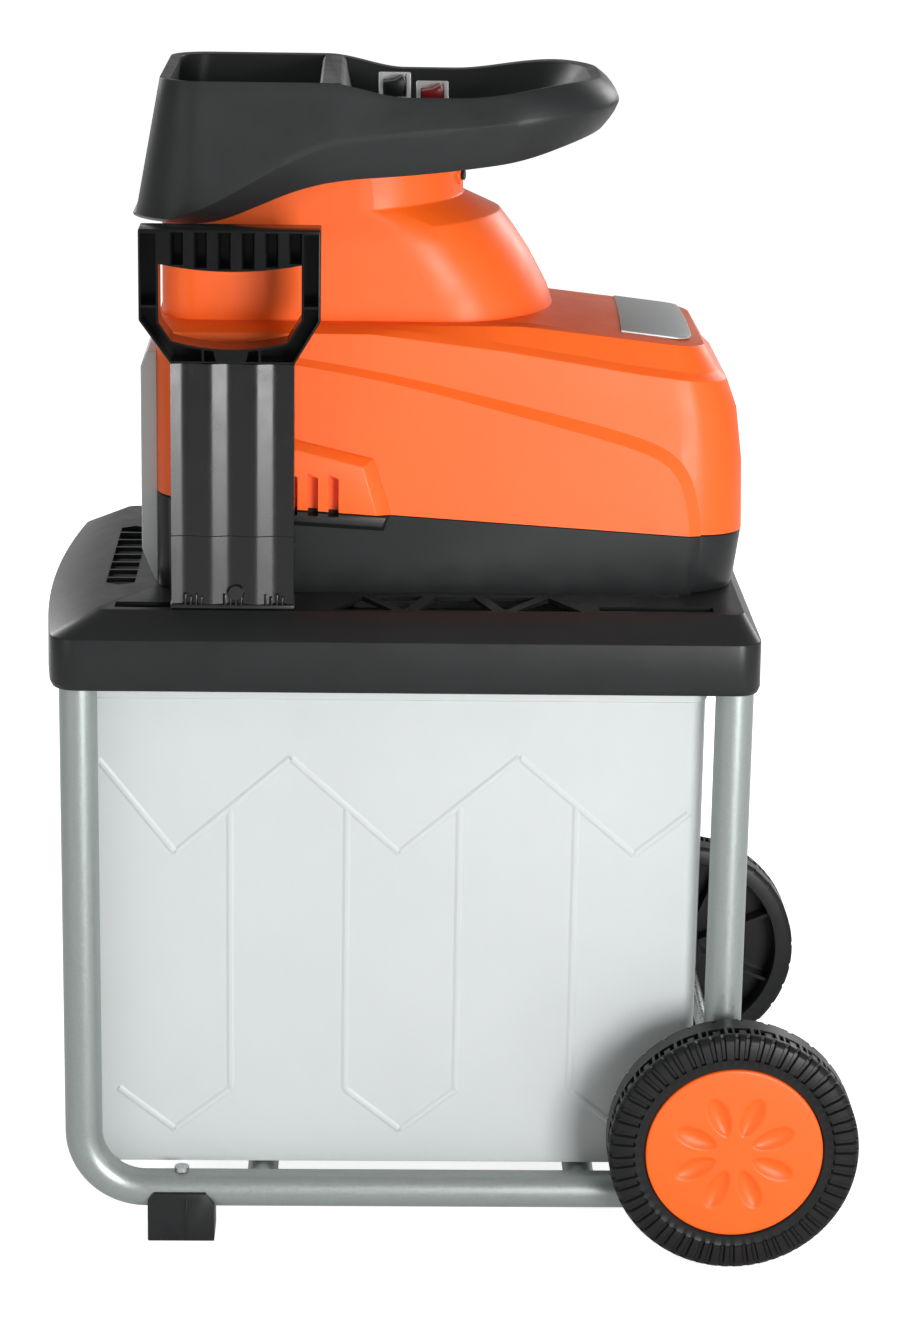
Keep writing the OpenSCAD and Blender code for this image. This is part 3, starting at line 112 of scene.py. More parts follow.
# %% Solids, edges and booleans
def apply_modifier(obj, kind, **settings):
    hold(obj)
    modifier = obj.modifiers.new(kind.title(), kind)
    for key, value in settings.items():
        setattr(modifier, key, value)
    bpy.ops.object.modifier_apply(modifier=modifier.name)


def round_edges(obj, radius, segments=3, angle=28):
    apply_modifier(obj, "BEVEL", width=radius * MM, segments=segments, limit_method="ANGLE",
                   angle_limit=math.radians(angle))


def smooth(obj, angle=40):
    hold(obj)
    bpy.ops.object.shade_smooth_by_angle(angle=math.radians(angle))


def block(name, low, high, radius=0, segments=3):
    """A cube set to its corners, with its edges rounded."""
    let_go()
    centre = [(a + b) / 2 * MM for a, b in zip(low, high)]
    bpy.ops.mesh.primitive_cube_add(size=1, location=centre)
    obj = bpy.context.active_object
    obj.name = obj.data.name = name
    obj.scale = [(b - a) * MM for a, b in zip(low, high)]
    bpy.ops.object.transform_apply(location=True, rotation=True, scale=True)
    if radius:
        round_edges(obj, radius, segments)
    return obj


def prism(name, points, y0, y1):
    """A side outline in X and Z, carried from y0 to y1."""
    return loft(name, [[(x, y, z) for x, z in points] for y in (y0, y1)])


def cut(obj, cutters):
    for cutter in cutters:
        apply_modifier(obj, "BOOLEAN", operation="DIFFERENCE", solver="EXACT", object=cutter)
        bpy.data.objects.remove(cutter)


def fuse(obj, parts):
    for part in parts:
        apply_modifier(obj, "BOOLEAN", operation="UNION", solver="EXACT", object=part)
        bpy.data.objects.remove(part)


def gather(obj, parts):
    """Adds closed solids to an object without cutting them into each other."""
    hold(obj)
    for part in parts:
        part.select_set(True)
    bpy.ops.object.join()


def mirrored(obj, name):
    """A copy with its own mesh on the other side of the machine."""
    twin = obj.copy()
    twin.data = obj.data.copy()
    twin.name = twin.data.name = name
    bpy.context.scene.collection.objects.link(twin)
    hold(twin)
    bpy.ops.object.mode_set(mode="EDIT")
    bpy.ops.mesh.select_all(action="SELECT")
    bpy.ops.transform.resize(value=(1, -1, 1), center_override=(0, 0, 0))
    bpy.ops.mesh.flip_normals()
    bpy.ops.object.mode_set(mode="OBJECT")
    return twin


# %% [markdown]
# Outlines are short lists of points. A rounded plan is walked corner by corner, and a listed line is
# softened by cutting its corners twice, which keeps its ends.

# %% Outlines
def ease(u):
    u = max(0.0, min(1.0, u))
    return u * u * (3 - 2 * u)


def between(table, x):
    """Straight-line reading of a short table of (x, value)."""
    if x <= table[0][0]:
        return table[0][1]
    for (xa, va), (xb, vb) in zip(table, table[1:]):
        if x <= xb:
            return va + (vb - va) * (x - xa) / (xb - xa)
    return table[-1][1]


def softened(points, rounds=2):
    for _ in range(rounds):
        line = [points[0]]
        for (xa, za), (xb, zb) in zip(points, points[1:]):
            for t in (0.25, 0.75):
                line.append(((1 - t) * xa + t * xb, (1 - t) * za + t * zb))
        points = line + [points[-1]]
    return points


def circle(cx, cz, r, count=24):
    turns = [2 * math.pi * k / count for k in range(count)]
    return [(cx + r * math.cos(t), cz + r * math.sin(t)) for t in turns]


def outline(front, rear, half, front_r, rear_r, height, arc=12, side=34, end=10):
    """A rounded plan, walked from the rear on the far side. Height is a number or a function of x."""
    points = []

    def corner(cx, cy, r, start):
        for i in range(arc + 1):
            a = math.radians(start + 90 * i / arc)
            points.append((cx + r * math.cos(a), cy + r * math.sin(a)))

    def run(x0, y0, x1, y1, count):
        for i in range(1, count + 1):
            t = i / (count + 1)
            points.append((x0 + (x1 - x0) * t, y0 + (y1 - y0) * t))

    corner(rear - rear_r, half - rear_r, rear_r, 0)
    run(rear - rear_r, half, front + front_r, half, side)
    corner(front + front_r, half - front_r, front_r, 90)
    run(front, half - front_r, front, front_r - half, end)
    corner(front + front_r, front_r - half, front_r, 180)
    run(front + front_r, -half, rear - rear_r, -half, side)
    corner(rear - rear_r, rear_r - half, rear_r, 270)
    run(rear, rear_r - half, rear, half - rear_r, end)
    level = height if callable(height) else (lambda x: height)
    return [(x, y, level(x)) for x, y in points]


print("helpers ready")

# %% [markdown]
# ## Finishes
# Nearly everything is moulded plastic with a fine spark-eroded grain. A grain is a bump of about a tenth of
# a millimetre at most, so it only shows as a soft breaking-up of the highlights. A slow noise shifts the
# colour and the gloss a little, as on real mouldings, where the flow of the melt leaves faint clouds.

# %% Noise and its ranges
NOISE_LOW, NOISE_HIGH = 0.3, 0.7
CLOUDS_PER_M, PATCHES_PER_M, FLAKES_PER_M = 9.0, 40.0, 420.0


def add(mat, kind, **inputs):
    node = mat.node_tree.nodes.new(kind)
    for key, value in inputs.items():
        node.inputs[key.replace("_", " ")].default_value = value
    return node


def noise(mat, coords, scale, detail):
    node = add(mat, "ShaderNodeTexNoise", Scale=scale, Detail=detail)
    mat.node_tree.links.new(coords.outputs["Object"], node.inputs["Vector"])
    return node


def spread(mat, source, low, high):
    """Maps a noise on to a range of numbers."""
    node = add(mat, "ShaderNodeMapRange", From_Min=NOISE_LOW, From_Max=NOISE_HIGH,
               To_Min=low, To_Max=high)
    mat.node_tree.links.new(source.outputs["Fac"], node.inputs["Value"])
    return node


def tints(mat, source, dark, light):
    ramp = mat.node_tree.nodes.new("ShaderNodeValToRGB")
    ends = ((NOISE_LOW, dark), (NOISE_HIGH, light))
    for element, (position, colour) in zip(ramp.color_ramp.elements, ends):
        element.position = position
        element.color = (*colour, 1)
    mat.node_tree.links.new(source.outputs["Fac"], ramp.inputs["Fac"])
    return ramp


print("noise is read from", NOISE_LOW, "to", NOISE_HIGH)

# %% [markdown]
# A moulding's recipe is its colour, its mean roughness, its grain and how much of the light it mirrors.
# Every plastic of the machine then takes one call. The box is the only one that light enters, so it gets a
# little subsurface scattering on top.

# %% Moulded plastics
def moulded(name, colour, rough, grain=1.2, depth=0.06, clouds=0.06, shine=0.3):
    """Colour is linear, rough is the mean roughness, and grain and depth are in millimetres."""
    mat = bpy.data.materials.new(name)
    mat.use_nodes = True
    links = mat.node_tree.links
    shader = mat.node_tree.nodes["Principled BSDF"]
    shader.inputs["Specular IOR Level"].default_value = shine
    coords = add(mat, "ShaderNodeTexCoord")
    slow = noise(mat, coords, CLOUDS_PER_M, 4.0)
    ramp = tints(mat, slow, [c * (1 - clouds) for c in colour], [min(1, c * (1 + clouds)) for c in colour])
    links.new(ramp.outputs["Color"], shader.inputs["Base Color"])
    patches = noise(mat, coords, PATCHES_PER_M, 3.0)
    links.new(spread(mat, patches, rough - 0.05, rough + 0.05).outputs["Result"], shader.inputs["Roughness"])
    bump = add(mat, "ShaderNodeBump", Strength=0.5, Distance=depth * MM)
    links.new(noise(mat, coords, 1 / (grain * MM), 2.0).outputs["Fac"], bump.inputs["Height"])
    links.new(bump.outputs["Normal"], shader.inputs["Normal"])
    return mat


orange_moulding = moulded("orange_moulding", (0.93, 0.122, 0.008), 0.42,
                          grain=0.8, depth=0.03, clouds=0.03, shine=0.4)
black_moulding = moulded("black_moulding", (0.015, 0.016, 0.0165), 0.34,
                         grain=1.0, depth=0.04, clouds=0.12, shine=0.24)
hopper_moulding = moulded("hopper_moulding", (0.019, 0.021, 0.0215), 0.42,
                          grain=1.4, depth=0.12, clouds=0.12, shine=0.24)
gloss_black = moulded("gloss_black", (0.007, 0.0074, 0.0076), 0.2,
                      grain=1.0, depth=0.015, clouds=0.1, shine=0.16)
blade_black = moulded("blade_black", (0.005, 0.0053, 0.0055), 0.24,
                      grain=1.0, depth=0.008, clouds=0.1, shine=0.45)
tyre_black = moulded("tyre_black", (0.009, 0.0094, 0.0098), 0.36,
                     grain=0.9, depth=0.05, clouds=0.14, shine=0.22)
cover_grey = moulded("cover_grey", (0.6, 0.635, 0.615), 0.45, grain=0.9, depth=0.03, clouds=0.04)
bezel_grey = moulded("bezel_grey", (0.7, 0.71, 0.7), 0.35, grain=0.9, depth=0.02, clouds=0.04)
red_rocker = moulded("red_rocker", (0.33, 0.018, 0.014), 0.3, grain=0.9, depth=0.01, clouds=0.05)
button_blue = moulded("button_blue", (0.14, 0.2, 0.235), 0.32, grain=0.9, depth=0.01, clouds=0.05)
capacitor_white = moulded("capacitor_white", (0.62, 0.64, 0.65), 0.4, grain=0.9, depth=0.01, clouds=0.03)
box_milky = moulded("box_milky", (0.57, 0.596, 0.598), 0.42, grain=2.2, depth=0.03, clouds=0.02)
milk = box_milky.node_tree.nodes["Principled BSDF"]
milk.inputs["Subsurface Weight"].default_value = 0.2
milk.inputs["Subsurface Radius"].default_value = (0.012, 0.012, 0.012)
print("plastics", [m.name for m in bpy.data.materials])

# %% [markdown]
# Metal parts are silver-painted tube, zinc-plated fasteners, cast alloy and machined steel. Paint has a
# faint metallic flake. Machined steel, bare plate and windings have fine streaks: their noise is squeezed
# along an axis before it drives the colour, the roughness and the bump.

# %% Metals
def metallic(name, colour, rough, metal=1.0, stretch=(1, 1, 1), flake=0.05):
    mat = bpy.data.materials.new(name)
    mat.use_nodes = True
    links = mat.node_tree.links
    shader = mat.node_tree.nodes["Principled BSDF"]
    shader.inputs["Metallic"].default_value = metal
    coords = add(mat, "ShaderNodeTexCoord")
    mapping = add(mat, "ShaderNodeMapping", Scale=stretch)
    links.new(coords.outputs["Object"], mapping.inputs["Vector"])
    fine = add(mat, "ShaderNodeTexNoise", Scale=FLAKES_PER_M, Detail=3.0)
    links.new(mapping.outputs["Vector"], fine.inputs["Vector"])
    ramp = tints(mat, fine, [c * (1 - flake) for c in colour], [min(1, c * (1 + flake)) for c in colour])
    links.new(ramp.outputs["Color"], shader.inputs["Base Color"])
    links.new(spread(mat, fine, rough - 0.07, rough + 0.07).outputs["Result"], shader.inputs["Roughness"])
    bump = add(mat, "ShaderNodeBump", Strength=0.3, Distance=0.02 * MM)
    links.new(fine.outputs["Fac"], bump.inputs["Height"])
    links.new(bump.outputs["Normal"], shader.inputs["Normal"])
    return mat


tube_silver = metallic("tube_silver", (0.31, 0.345, 0.332), 0.36, metal=0.6, flake=0.04)
bare_plate = metallic("bare_plate", (0.40, 0.42, 0.415), 0.42, metal=0.35, stretch=(1, 12, 1))
machined_steel = metallic("machined_steel", (0.46, 0.46, 0.47), 0.32, stretch=(8, 1, 1))
zinc_plate = metallic("zinc_plate", (0.56, 0.57, 0.57), 0.3)
cast_alloy = metallic("cast_alloy", (0.5, 0.51, 0.52), 0.5, flake=0.08)
sintered_bronze = metallic("sintered_bronze", (0.5, 0.33, 0.14), 0.45)
winding_wire = metallic("winding_wire", (0.42, 0.15, 0.06), 0.4, stretch=(1, 6, 6), flake=0.2)
print(len(bpy.data.materials), "materials with the metals")

# %% [markdown]
# The CAD nodes come without a finish of their own. Each has a slot in the record, and each slot has one
# finish here, so the pieces that aren't modelled again, such as the gears and the motor, are finished in one
# loop. A modelled piece goes the same way at its end: it is shaded, finished and set to ride on its body.

# %% Finishes for the CAD nodes
slot_finish = {
    "tube_paint": tube_silver, "black_plastic": black_moulding, "tyre_plastic": tyre_black,
    "orange_plastic": orange_moulding, "box_plastic": box_milky, "grey_plastic": cover_grey,
    "red_plastic": red_rocker, "button_plastic": button_blue, "bare_plate": bare_plate,
    "steel": machined_steel, "zinc": zinc_plate, "alloy": cast_alloy, "bronze": sintered_bronze,
    "winding": winding_wire, "capacitor_can": capacitor_white,
}
node_slot = {row["node"]: row["material_slot"] for row in frame["record"]["subparts"]}
for node_name, node in frame["nodes"].items():
    node.data.materials.clear()
    node.data.materials.append(slot_finish[node_slot[node_name]])
print("finished", len(frame["nodes"]), "CAD nodes")


def place_piece(obj, body, finish, *nodes, angle=40):
    """Shades a finished piece, gives it its finish and lets it stand for its CAD nodes."""
    smooth(obj, angle)
    obj.data.materials.clear()
    obj.data.materials.append(finish)
    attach(obj, body)
    if nodes:
        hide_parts(*nodes)
    print(obj.name, len(obj.data.polygons), "faces")


# %% [markdown]
# ## Tube frame
# Each side of the frame is one steel tube with two bends, pushed up into the deck. The loft follows the
# centre line: two straight legs, a straight foot run and a quarter turn at each end of it. The CAD tube is
# already exact, but a finer ring gives the painted tube its clean, unbroken highlight.

# %% Side tubes
TUBE_R, TUBE_Y, LOW_Z, BEND_R = 15.0, 186.0, 39.5, 50.0
FRONT_LEG, REAR_LEG, LEG_TOP, LEG_MID, BEND_STEPS = -294.0, 221.0, 502.0, 300, 16


def tube_path():
    """Points of the centre line with the direction of travel, as (x, z, angle)."""
    steps = [(FRONT_LEG, LEG_TOP, -90), (FRONT_LEG, LEG_MID, -90)]
    for centre, start in ((FRONT_LEG + BEND_R, 180), (REAR_LEG - BEND_R, 270)):
        for i in range(BEND_STEPS + 1):
            a = math.radians(start + 90 * i / BEND_STEPS)
            steps.append((centre + BEND_R * math.cos(a), LOW_Z + BEND_R + BEND_R * math.sin(a),
                          math.degrees(a) + 90))
    return steps + [(REAR_LEG, LEG_MID, 90), (REAR_LEG, LEG_TOP, 90)]


def tube_ring(x, y, z, heading, r, count=36):
    """A circle across the path, in the plane of the heading's normal and Y."""
    nx, nz = -math.sin(math.radians(heading)), math.cos(math.radians(heading))
    turns = [2 * math.pi * i / count for i in range(count)]
    return [(x + r * math.cos(t) * nx, y + r * math.sin(t), z + r * math.cos(t) * nz) for t in turns]


for side, y in (("right", -TUBE_Y), ("left", TUBE_Y)):
    tube = loft(side + "_tube", [tube_ring(x, y, z, a, TUBE_R) for x, z, a in tube_path()])
    place_piece(tube, "machine", tube_silver, side + "_frame_tube", angle=50)

# %% [markdown]
# ## Feet
# A foot is a black moulded shoe under the front of each tube. Its top corners are cut off at an angle and
# its face is split by a thin upright rib, which catches the light as a bright line.

# %% Front feet
FOOT_FRONT, FOOT_REAR, FOOT_HALF, FOOT_TOP = -242.0, -188.0, 18.5, 41.5
FOOT_RIB, RIB_HALF = -210.7, 0.9
CHANNEL_FRONT, CHANNEL_REAR, CHANNEL_R = -260, -170, TUBE_R + 0.1
SHOE_OUTLINE = [(FOOT_FRONT, 0), (FOOT_REAR, 0), (FOOT_REAR, 31), (FOOT_REAR - 7, FOOT_TOP),
                (FOOT_FRONT + 5, FOOT_TOP), (FOOT_FRONT, 34)]
for side, mid in (("right", -TUBE_Y), ("left", TUBE_Y)):
    y0, y1 = mid - FOOT_HALF, mid + FOOT_HALF
    shoe = prism(side + "_shoe", SHOE_OUTLINE, y0, y1)
    round_edges(shoe, 0.8, 2)
    rib = block("rib", (FOOT_RIB - RIB_HALF, y0 - RIB_HALF, 0.5),
                (FOOT_RIB + RIB_HALF, y1 + RIB_HALF, FOOT_TOP - 5), 0.4, 2)
    fuse(shoe, [rib])
    channel = loft("channel", [tube_ring(x, mid, LOW_Z, 0, CHANNEL_R) for x in (CHANNEL_FRONT, CHANNEL_REAR)])
    gap = block("gap", (CHANNEL_FRONT, mid - CHANNEL_R, LOW_Z), (CHANNEL_REAR, mid + CHANNEL_R, 80))
    cut(shoe, [channel, gap])
    place_piece(shoe, "machine", black_moulding, side + "_foot")

# %% [markdown]
# ## Deck
# The deck is the black tray that the housing stands on. It has an upright skirt, a sloped shoulder and a
# flat plate, and its front edge bows forward a little. The loft goes up the outside, over the shoulder to
# the chip opening, and back along the inside, so the wall has its real thickness.

# %% Deck moulding
DECK_FRONT, DECK_REAR, DECK_HALF, DECK_R = -313.5, 240.5, 205.5, 19.5
DECK_LOW, SKIRT_Z, DECK_TOP, DECK_WALL, DECK_BOW = 464.5, 506.0, 523.8, 3.5, 14.0
SHOULDER_FRONT, SHOULDER_REAR, SHOULDER_SIDE = 34.0, 12.5, 27.5
BOW_START, BOW_RUN = -200, 80
CHIP_FRONT, CHIP_REAR, CHIP_HALF, CHIP_GAP = -218.0, -82.0, 66.0, 3.5


def deck_ring(inset_f, inset_r, inset_s, radius, z):
    half = DECK_HALF - inset_s
    bow = max(0.0, DECK_BOW * (1 - inset_f / SHOULDER_FRONT))
    ring = outline(DECK_FRONT + inset_f, DECK_REAR - inset_r, half, radius, radius, z, end=18)
    return [(x - bow * (1 - (y / half) ** 2) * ease((BOW_START - x) / BOW_RUN), y, h) for x, y, h in ring]


def chip_ring(grow, z):
    return outline(CHIP_FRONT - grow, CHIP_REAR + grow, CHIP_HALF + grow, 8, 8, z, end=18)


deck = loft("deck_moulding", [
    deck_ring(2.0, 2.0, 2.0, DECK_R - 2, DECK_LOW),
    deck_ring(0, 0, 0, DECK_R, DECK_LOW + 5),
    deck_ring(0.3, 0.3, 0.3, DECK_R, SKIRT_Z),
    deck_ring(SHOULDER_FRONT, SHOULDER_REAR, SHOULDER_SIDE, 10, DECK_TOP),
    chip_ring(CHIP_GAP, DECK_TOP),
    chip_ring(CHIP_GAP, DECK_TOP - DECK_WALL),
    deck_ring(SHOULDER_FRONT, SHOULDER_REAR, SHOULDER_SIDE, 10, DECK_TOP - DECK_WALL),
    deck_ring(DECK_WALL, DECK_WALL, DECK_WALL, DECK_R - DECK_WALL, SKIRT_Z - DECK_WALL),
    deck_ring(DECK_WALL, DECK_WALL, DECK_WALL, DECK_R - DECK_WALL, DECK_LOW),
], loop=True)
round_edges(deck, 1.6, 3, 25)
print("deck", len(deck.data.polygons), "faces before its openings")

# %% [markdown]
# The grille at the front, with its pointed end gaps, the slot that the plunger's tongue drops into and the
# openwork along the near edge are cut through the plate afterwards. A thin black sheet is put under each
# field of holes as painted shade, so that they read as dark pockets from above.

# %% Deck openings
GRILLE_X, GRILLE_W, GRILLE_L, GRILLE_GAPS = -266.5, 23.0, 206.0, 8
GRILLE_BAR, GRILLE_POINT = 3.2, 8
SLOT_Y, OPENWORK_Y = -162.0, -151.0
# Heights of the thin black sheets under the holes, which are painted shade
SHADE_SHEET_LOW, SHADE_SHEET_HIGH = DECK_TOP - 12, DECK_TOP - 10.5
OPENWORK = [
    [(-266, -20), (-132, -20), (-132, -3), (-266, -3)], [(-96, -22), (-48, -22), (-72, 20)],
    [(-64, 22), (-40, -20), (-24, 22)], [(-14, 22), (-28, -22), (30, -22), (16, 22)],
    [(26, 22), (40, -20), (66, 22)], [(48, -22), (100, -22), (76, 20)],
    [(114, -19), (204, -19), (204, -5), (114, -5)]]


def through_deck(name, points):
    return loft(name, [[(x, y, z) for x, y in points] for z in (DECK_TOP - 9, DECK_TOP + 5)])


pitch = GRILLE_L / GRILLE_GAPS
x0, x1 = GRILLE_X - GRILLE_W / 2, GRILLE_X + GRILLE_W / 2
tools = []
for i in range(GRILLE_GAPS):
    y0 = -GRILLE_L / 2 + pitch * i + GRILLE_BAR / 2
    y1 = y0 + pitch - GRILLE_BAR
    points = [(x0, y0), (x1, y0), (x1, y1), (x0, y1)]
    if i == 0:
        points = [(x0, y0 + GRILLE_POINT), (GRILLE_X, y0), (x1, y0 + GRILLE_POINT), (x1, y1), (x0, y1)]
    if i == GRILLE_GAPS - 1:
        points = [(x0, y0), (x1, y0), (x1, y1 - GRILLE_POINT), (GRILLE_X, y1), (x0, y1 - GRILLE_POINT)]
    tools.append(through_deck("grille_gap", points))
tools += [through_deck("openwork", [(x, OPENWORK_Y + y) for x, y in points]) for points in OPENWORK]
cut(deck, tools)
# Painted shade: a thin black sheet under the grille and one under the openwork make the holes read dark
grille_shade_sheet = block("grille_shade_sheet", (x0 - 13, -GRILLE_L / 2 - 14, SHADE_SHEET_LOW),
                    (x1 + 14, GRILLE_L / 2 + 14, SHADE_SHEET_HIGH))
openwork_shade_sheet = block("openwork_shade_sheet", (-270, OPENWORK_Y - 25.5, SHADE_SHEET_LOW), (208, OPENWORK_Y + 25, SHADE_SHEET_HIGH))
gather(deck, [grille_shade_sheet, openwork_shade_sheet])
place_piece(deck, "machine", black_moulding, "deck", angle=30)

# %% [markdown]
# ## Housing shells
# The lower shell is black and the upper one orange. They meet on a line that falls towards the rear. On
# each flank a large side panel stands a few millimetres proud. Its chamfered edge runs back under the
# cowl, curves down near the rear and carries on into the black shell. Behind it the flanks turn in a
# little, so that the chamfer catches the light. The shell is a plain loft, and the panel is a thin loft of
# its own, fused on: a ring sunk in the shell, one at the foot of the chamfer and one at its top.

# %% Side panels
HOUSE_FRONT, SHELL, FLOOR_Z = -236.0, 3.0, 526.8
PANEL_HALF, BASE_HALF, LEAN = 125.0, 120.0, 0.035
BASE_REAR, HOUSE_REAR, TAPER_START, TAPER = 227.5, 233.0, 183.0, 0.2
PARTING_Z, PARTING_FALL, SEAM = 585.7, 0.065, 0.8
CHAMFER, CHAMFER_GAIN, GAIN_START, GAIN_RUN = 5.5, 4.0, -124, 300
PANEL_RINGS = ((1.0, -6.0), (1.0, 0.0), (0.0, PANEL_HALF - BASE_HALF))
PANEL_EDGE = [(-222, 720), (-124, 707.6), (-45, 693.2), (39, 671.6), (119, 650.2), (158, 637.5), (175, 624),
              (182.5, 606), (188.5, 572), (180.5, 522)]


def parting(x):
    return PARTING_Z - PARTING_FALL * x


def panel_line(grow):
    """The panel's edge, moved outwards by a chamfer that widens towards the rear."""
    line = softened(PANEL_EDGE)
    moved = []
    for i, (x, z) in enumerate(line):
        ahead, behind = line[min(i + 1, len(line) - 1)], line[max(i - 1, 0)]
        run = Vector((ahead[0] - behind[0], ahead[1] - behind[1])).normalized()
        width = grow * (CHAMFER + CHAMFER_GAIN * ease((x - GAIN_START) / GAIN_RUN))
        moved.append((x - run.y * width, z + run.x * width))
    return moved


def side_panel(name, side, low, high):
    """The part of the panel between two height lines."""
    rings = []
    for grow, out in PANEL_RINGS:
        edge = panel_line(grow)
        front = edge[0][0]
        top = [(x, min(z, high(x))) for x, z in edge]
        shape = [(x, max(z, low(x))) for x, z in top] + [(front, low(front))]
        rings.append([(x, side * (BASE_HALF + out - LEAN * (z - parting(x))), z) for x, z in shape])
    return loft(name, rings)


def house_ring(rear, half, front_r, rear_r, z, inset=0.0):
    """A ring of the housing. Its flanks are straight, and turn in behind the side panel."""
    ring = outline(HOUSE_FRONT + inset, rear - inset, half - inset, front_r - inset, rear_r - inset, z)
    return [(x, y * (1 - TAPER * max(0.0, x - TAPER_START) / half), h) for x, y, h in ring]


print("panel edge of", len(panel_line(0)), "points")

# %% [markdown]
# The lower shell is a closed loop of rings: up the outside, over the rim, down the inside and across the
# floor to the chip opening. Its flank leans out a little towards the rim, and so does the panel's black
# foot, which is cut off at the parting line and at the deck.

# %% Lower shell
CHIP_FLANGE, LOWER_LEAN, PANEL_TURN_Z = 9.4, -5.0 / 60.0, 572


def chip_flange(z):
    return outline(CHIP_FRONT - CHIP_FLANGE, CHIP_REAR + CHIP_FLANGE, CHIP_HALF + CHIP_FLANGE, 8, 8, z)


lower = loft("lower_shell", [
    house_ring(BASE_REAR - 2, BASE_HALF - 7, 20, 36, DECK_TOP),
    house_ring(BASE_REAR, BASE_HALF - 5, 22, 38, DECK_TOP + 6),
    house_ring(HOUSE_REAR - 0.4, BASE_HALF - 0.4, 25, 40, lambda x: parting(x) - SEAM),
    house_ring(HOUSE_REAR, BASE_HALF, 25, 40, lambda x: parting(x) - SEAM / 2, SHELL),
    house_ring(BASE_REAR, BASE_HALF - 5, 22, 38, FLOOR_Z, SHELL),
    chip_flange(FLOOR_Z),
    chip_flange(DECK_TOP),
], loop=True)
round_edges(lower, 1.2, 3, 30)


def lower_panel(side):
    """The panel's black foot, which leans the other way."""
    rings = []
    for grow, out in PANEL_RINGS:
        edge = [(x, z) for x, z in panel_line(grow) if z < PANEL_TURN_Z and x > 100]
        front = PANEL_EDGE[0][0] - 4 * grow
        shape = [(x, parting(x) - SEAM) for x in (front, edge[0][0])] + edge
        shape = [(x, max(z, DECK_TOP)) for x, z in shape] + [(front, DECK_TOP)]
        rings.append([(x, side * (BASE_HALF + out - LOWER_LEAN * (z - parting(x))), z) for x, z in shape])
    return loft("panel_foot", rings)


fuse(lower, [lower_panel(side) for side in (-1, 1)])
print("lower shell", len(lower.data.polygons), "faces before its vent lip")

# %% [markdown]
# The upper shell rises to a ledge, steps in, and goes up a short steep strip to the roof edge. The roof is
# gently crowned, flat at the front and falling behind the cowl. All of it is one loop of rings, out and
# back inside, before the side panels are fused on.

# %% Upper shell
ROOF_Z, ROOF_BREAK, ROOF_FALL, ROOF_HALF, ROOF_REAR = 741.0, 84.0, 0.13, 101.0, 198.0
EAVES_TOP, EAVES_Z, EAVES_FALL, STEP_RISE = 736.5, 733.0, 0.113, 5.4
THROAT = (-222.0, -114.0, 66.0)
LEDGE = [(-250, 736), (-69, 731.8), (38, 718.9), (94, 710.1), (141, 702.3), (215, 693)]


def roof_edge(x):
    return min(EAVES_TOP, EAVES_Z - EAVES_FALL * (x - ROOF_BREAK))


def ledge(x):
    return min(between(LEDGE, x), roof_edge(x) - 5)


def step(x):
    return min(between(LEDGE, x) + STEP_RISE, roof_edge(x) - 2.5)


def crown(x, y):
    centre = ROOF_Z - ROOF_FALL * max(0.0, x - ROOF_BREAK)
    return centre - (centre - roof_edge(x)) * min(1.0, (y / ROOF_HALF) ** 2)


def mixed(a, b, t, z):
    """A ring part-way between two rings, set to the height of a surface."""
    ring = [(p[0] + (q[0] - p[0]) * t, p[1] + (q[1] - p[1]) * t) for p, q in zip(a, b)]
    return [(x, y, z(x, y)) for x, y in ring]


def up_flank(share):
    """A height line at a share of the way from the parting line to the ledge."""
    return lambda x: parting(x) + share * (ledge(x) - parting(x))


def upper_rings(inset):
    """From the parting line to the mouth of the throat, moved inwards by a wall."""
    edge = house_ring(ROOF_REAR, ROOF_HALF, 22, 26, roof_edge, inset)
    mouth = outline(THROAT[0] - 5, THROAT[1] + 5, THROAT[2] + 5, 8, 8, ROOF_Z)
    rings = [house_ring(rear, half, 25, rear_r, z, inset) for rear, half, rear_r, z in (
        (HOUSE_REAR, BASE_HALF, 40, parting), (HOUSE_REAR - 1.5, BASE_HALF - 2.1, 40, up_flank(0.45)),
        (HOUSE_REAR - 7, BASE_HALF - 3.8, 39, up_flank(0.8)), (217, BASE_HALF - 4.8, 37, ledge))]
    rings += [house_ring(210.5, 109, 24, 32, step, inset), edge]
    rings += [mixed(edge, mouth, t, crown) for t in (0.1, 0.25, 0.42, 0.6, 0.8, 1.0)]
    return [[(x, y, z - (inset if i > 2 else 0)) for x, y, z in ring] for i, ring in enumerate(rings)]


upper = loft("upper_shell", upper_rings(0.0) + upper_rings(SHELL)[::-1], loop=True)
round_edges(upper, 2.6, 4, 14)
fuse(upper, [side_panel("side_panel", side, parting, lambda x: roof_edge(x) - 6) for side in (-1, 1)])
print("upper shell", len(upper.data.polygons), "faces before its vents")

# %% [markdown]
# The near flank carries a raised vent block with a sloping top. Its blind slots run down over the parting
# line into a black lip on the lower shell, so the same cutters serve both shells.

# %% Vent block
VENT_FRONT, VENT_REAR, VENT_OUT, VENT_Y, VENT_SUNK = -186.0, -49.3, 8.0, -PANEL_HALF, 6
VENT_TOP_Z, VENT_FALL, VENT_MID, VENT_SLOPE_IN, VENT_SLOPE_DOWN = 648.7, 0.24, -126, 5, 7


def vent_top(x):
    return VENT_TOP_Z - VENT_FALL * (x - VENT_MID)


def on_flank(name, *rings):
    """A loft between side outlines, each at its own place across the machine."""
    return loft(name, [[(x, y, z) for x, z in shape] for y, shape in rings])


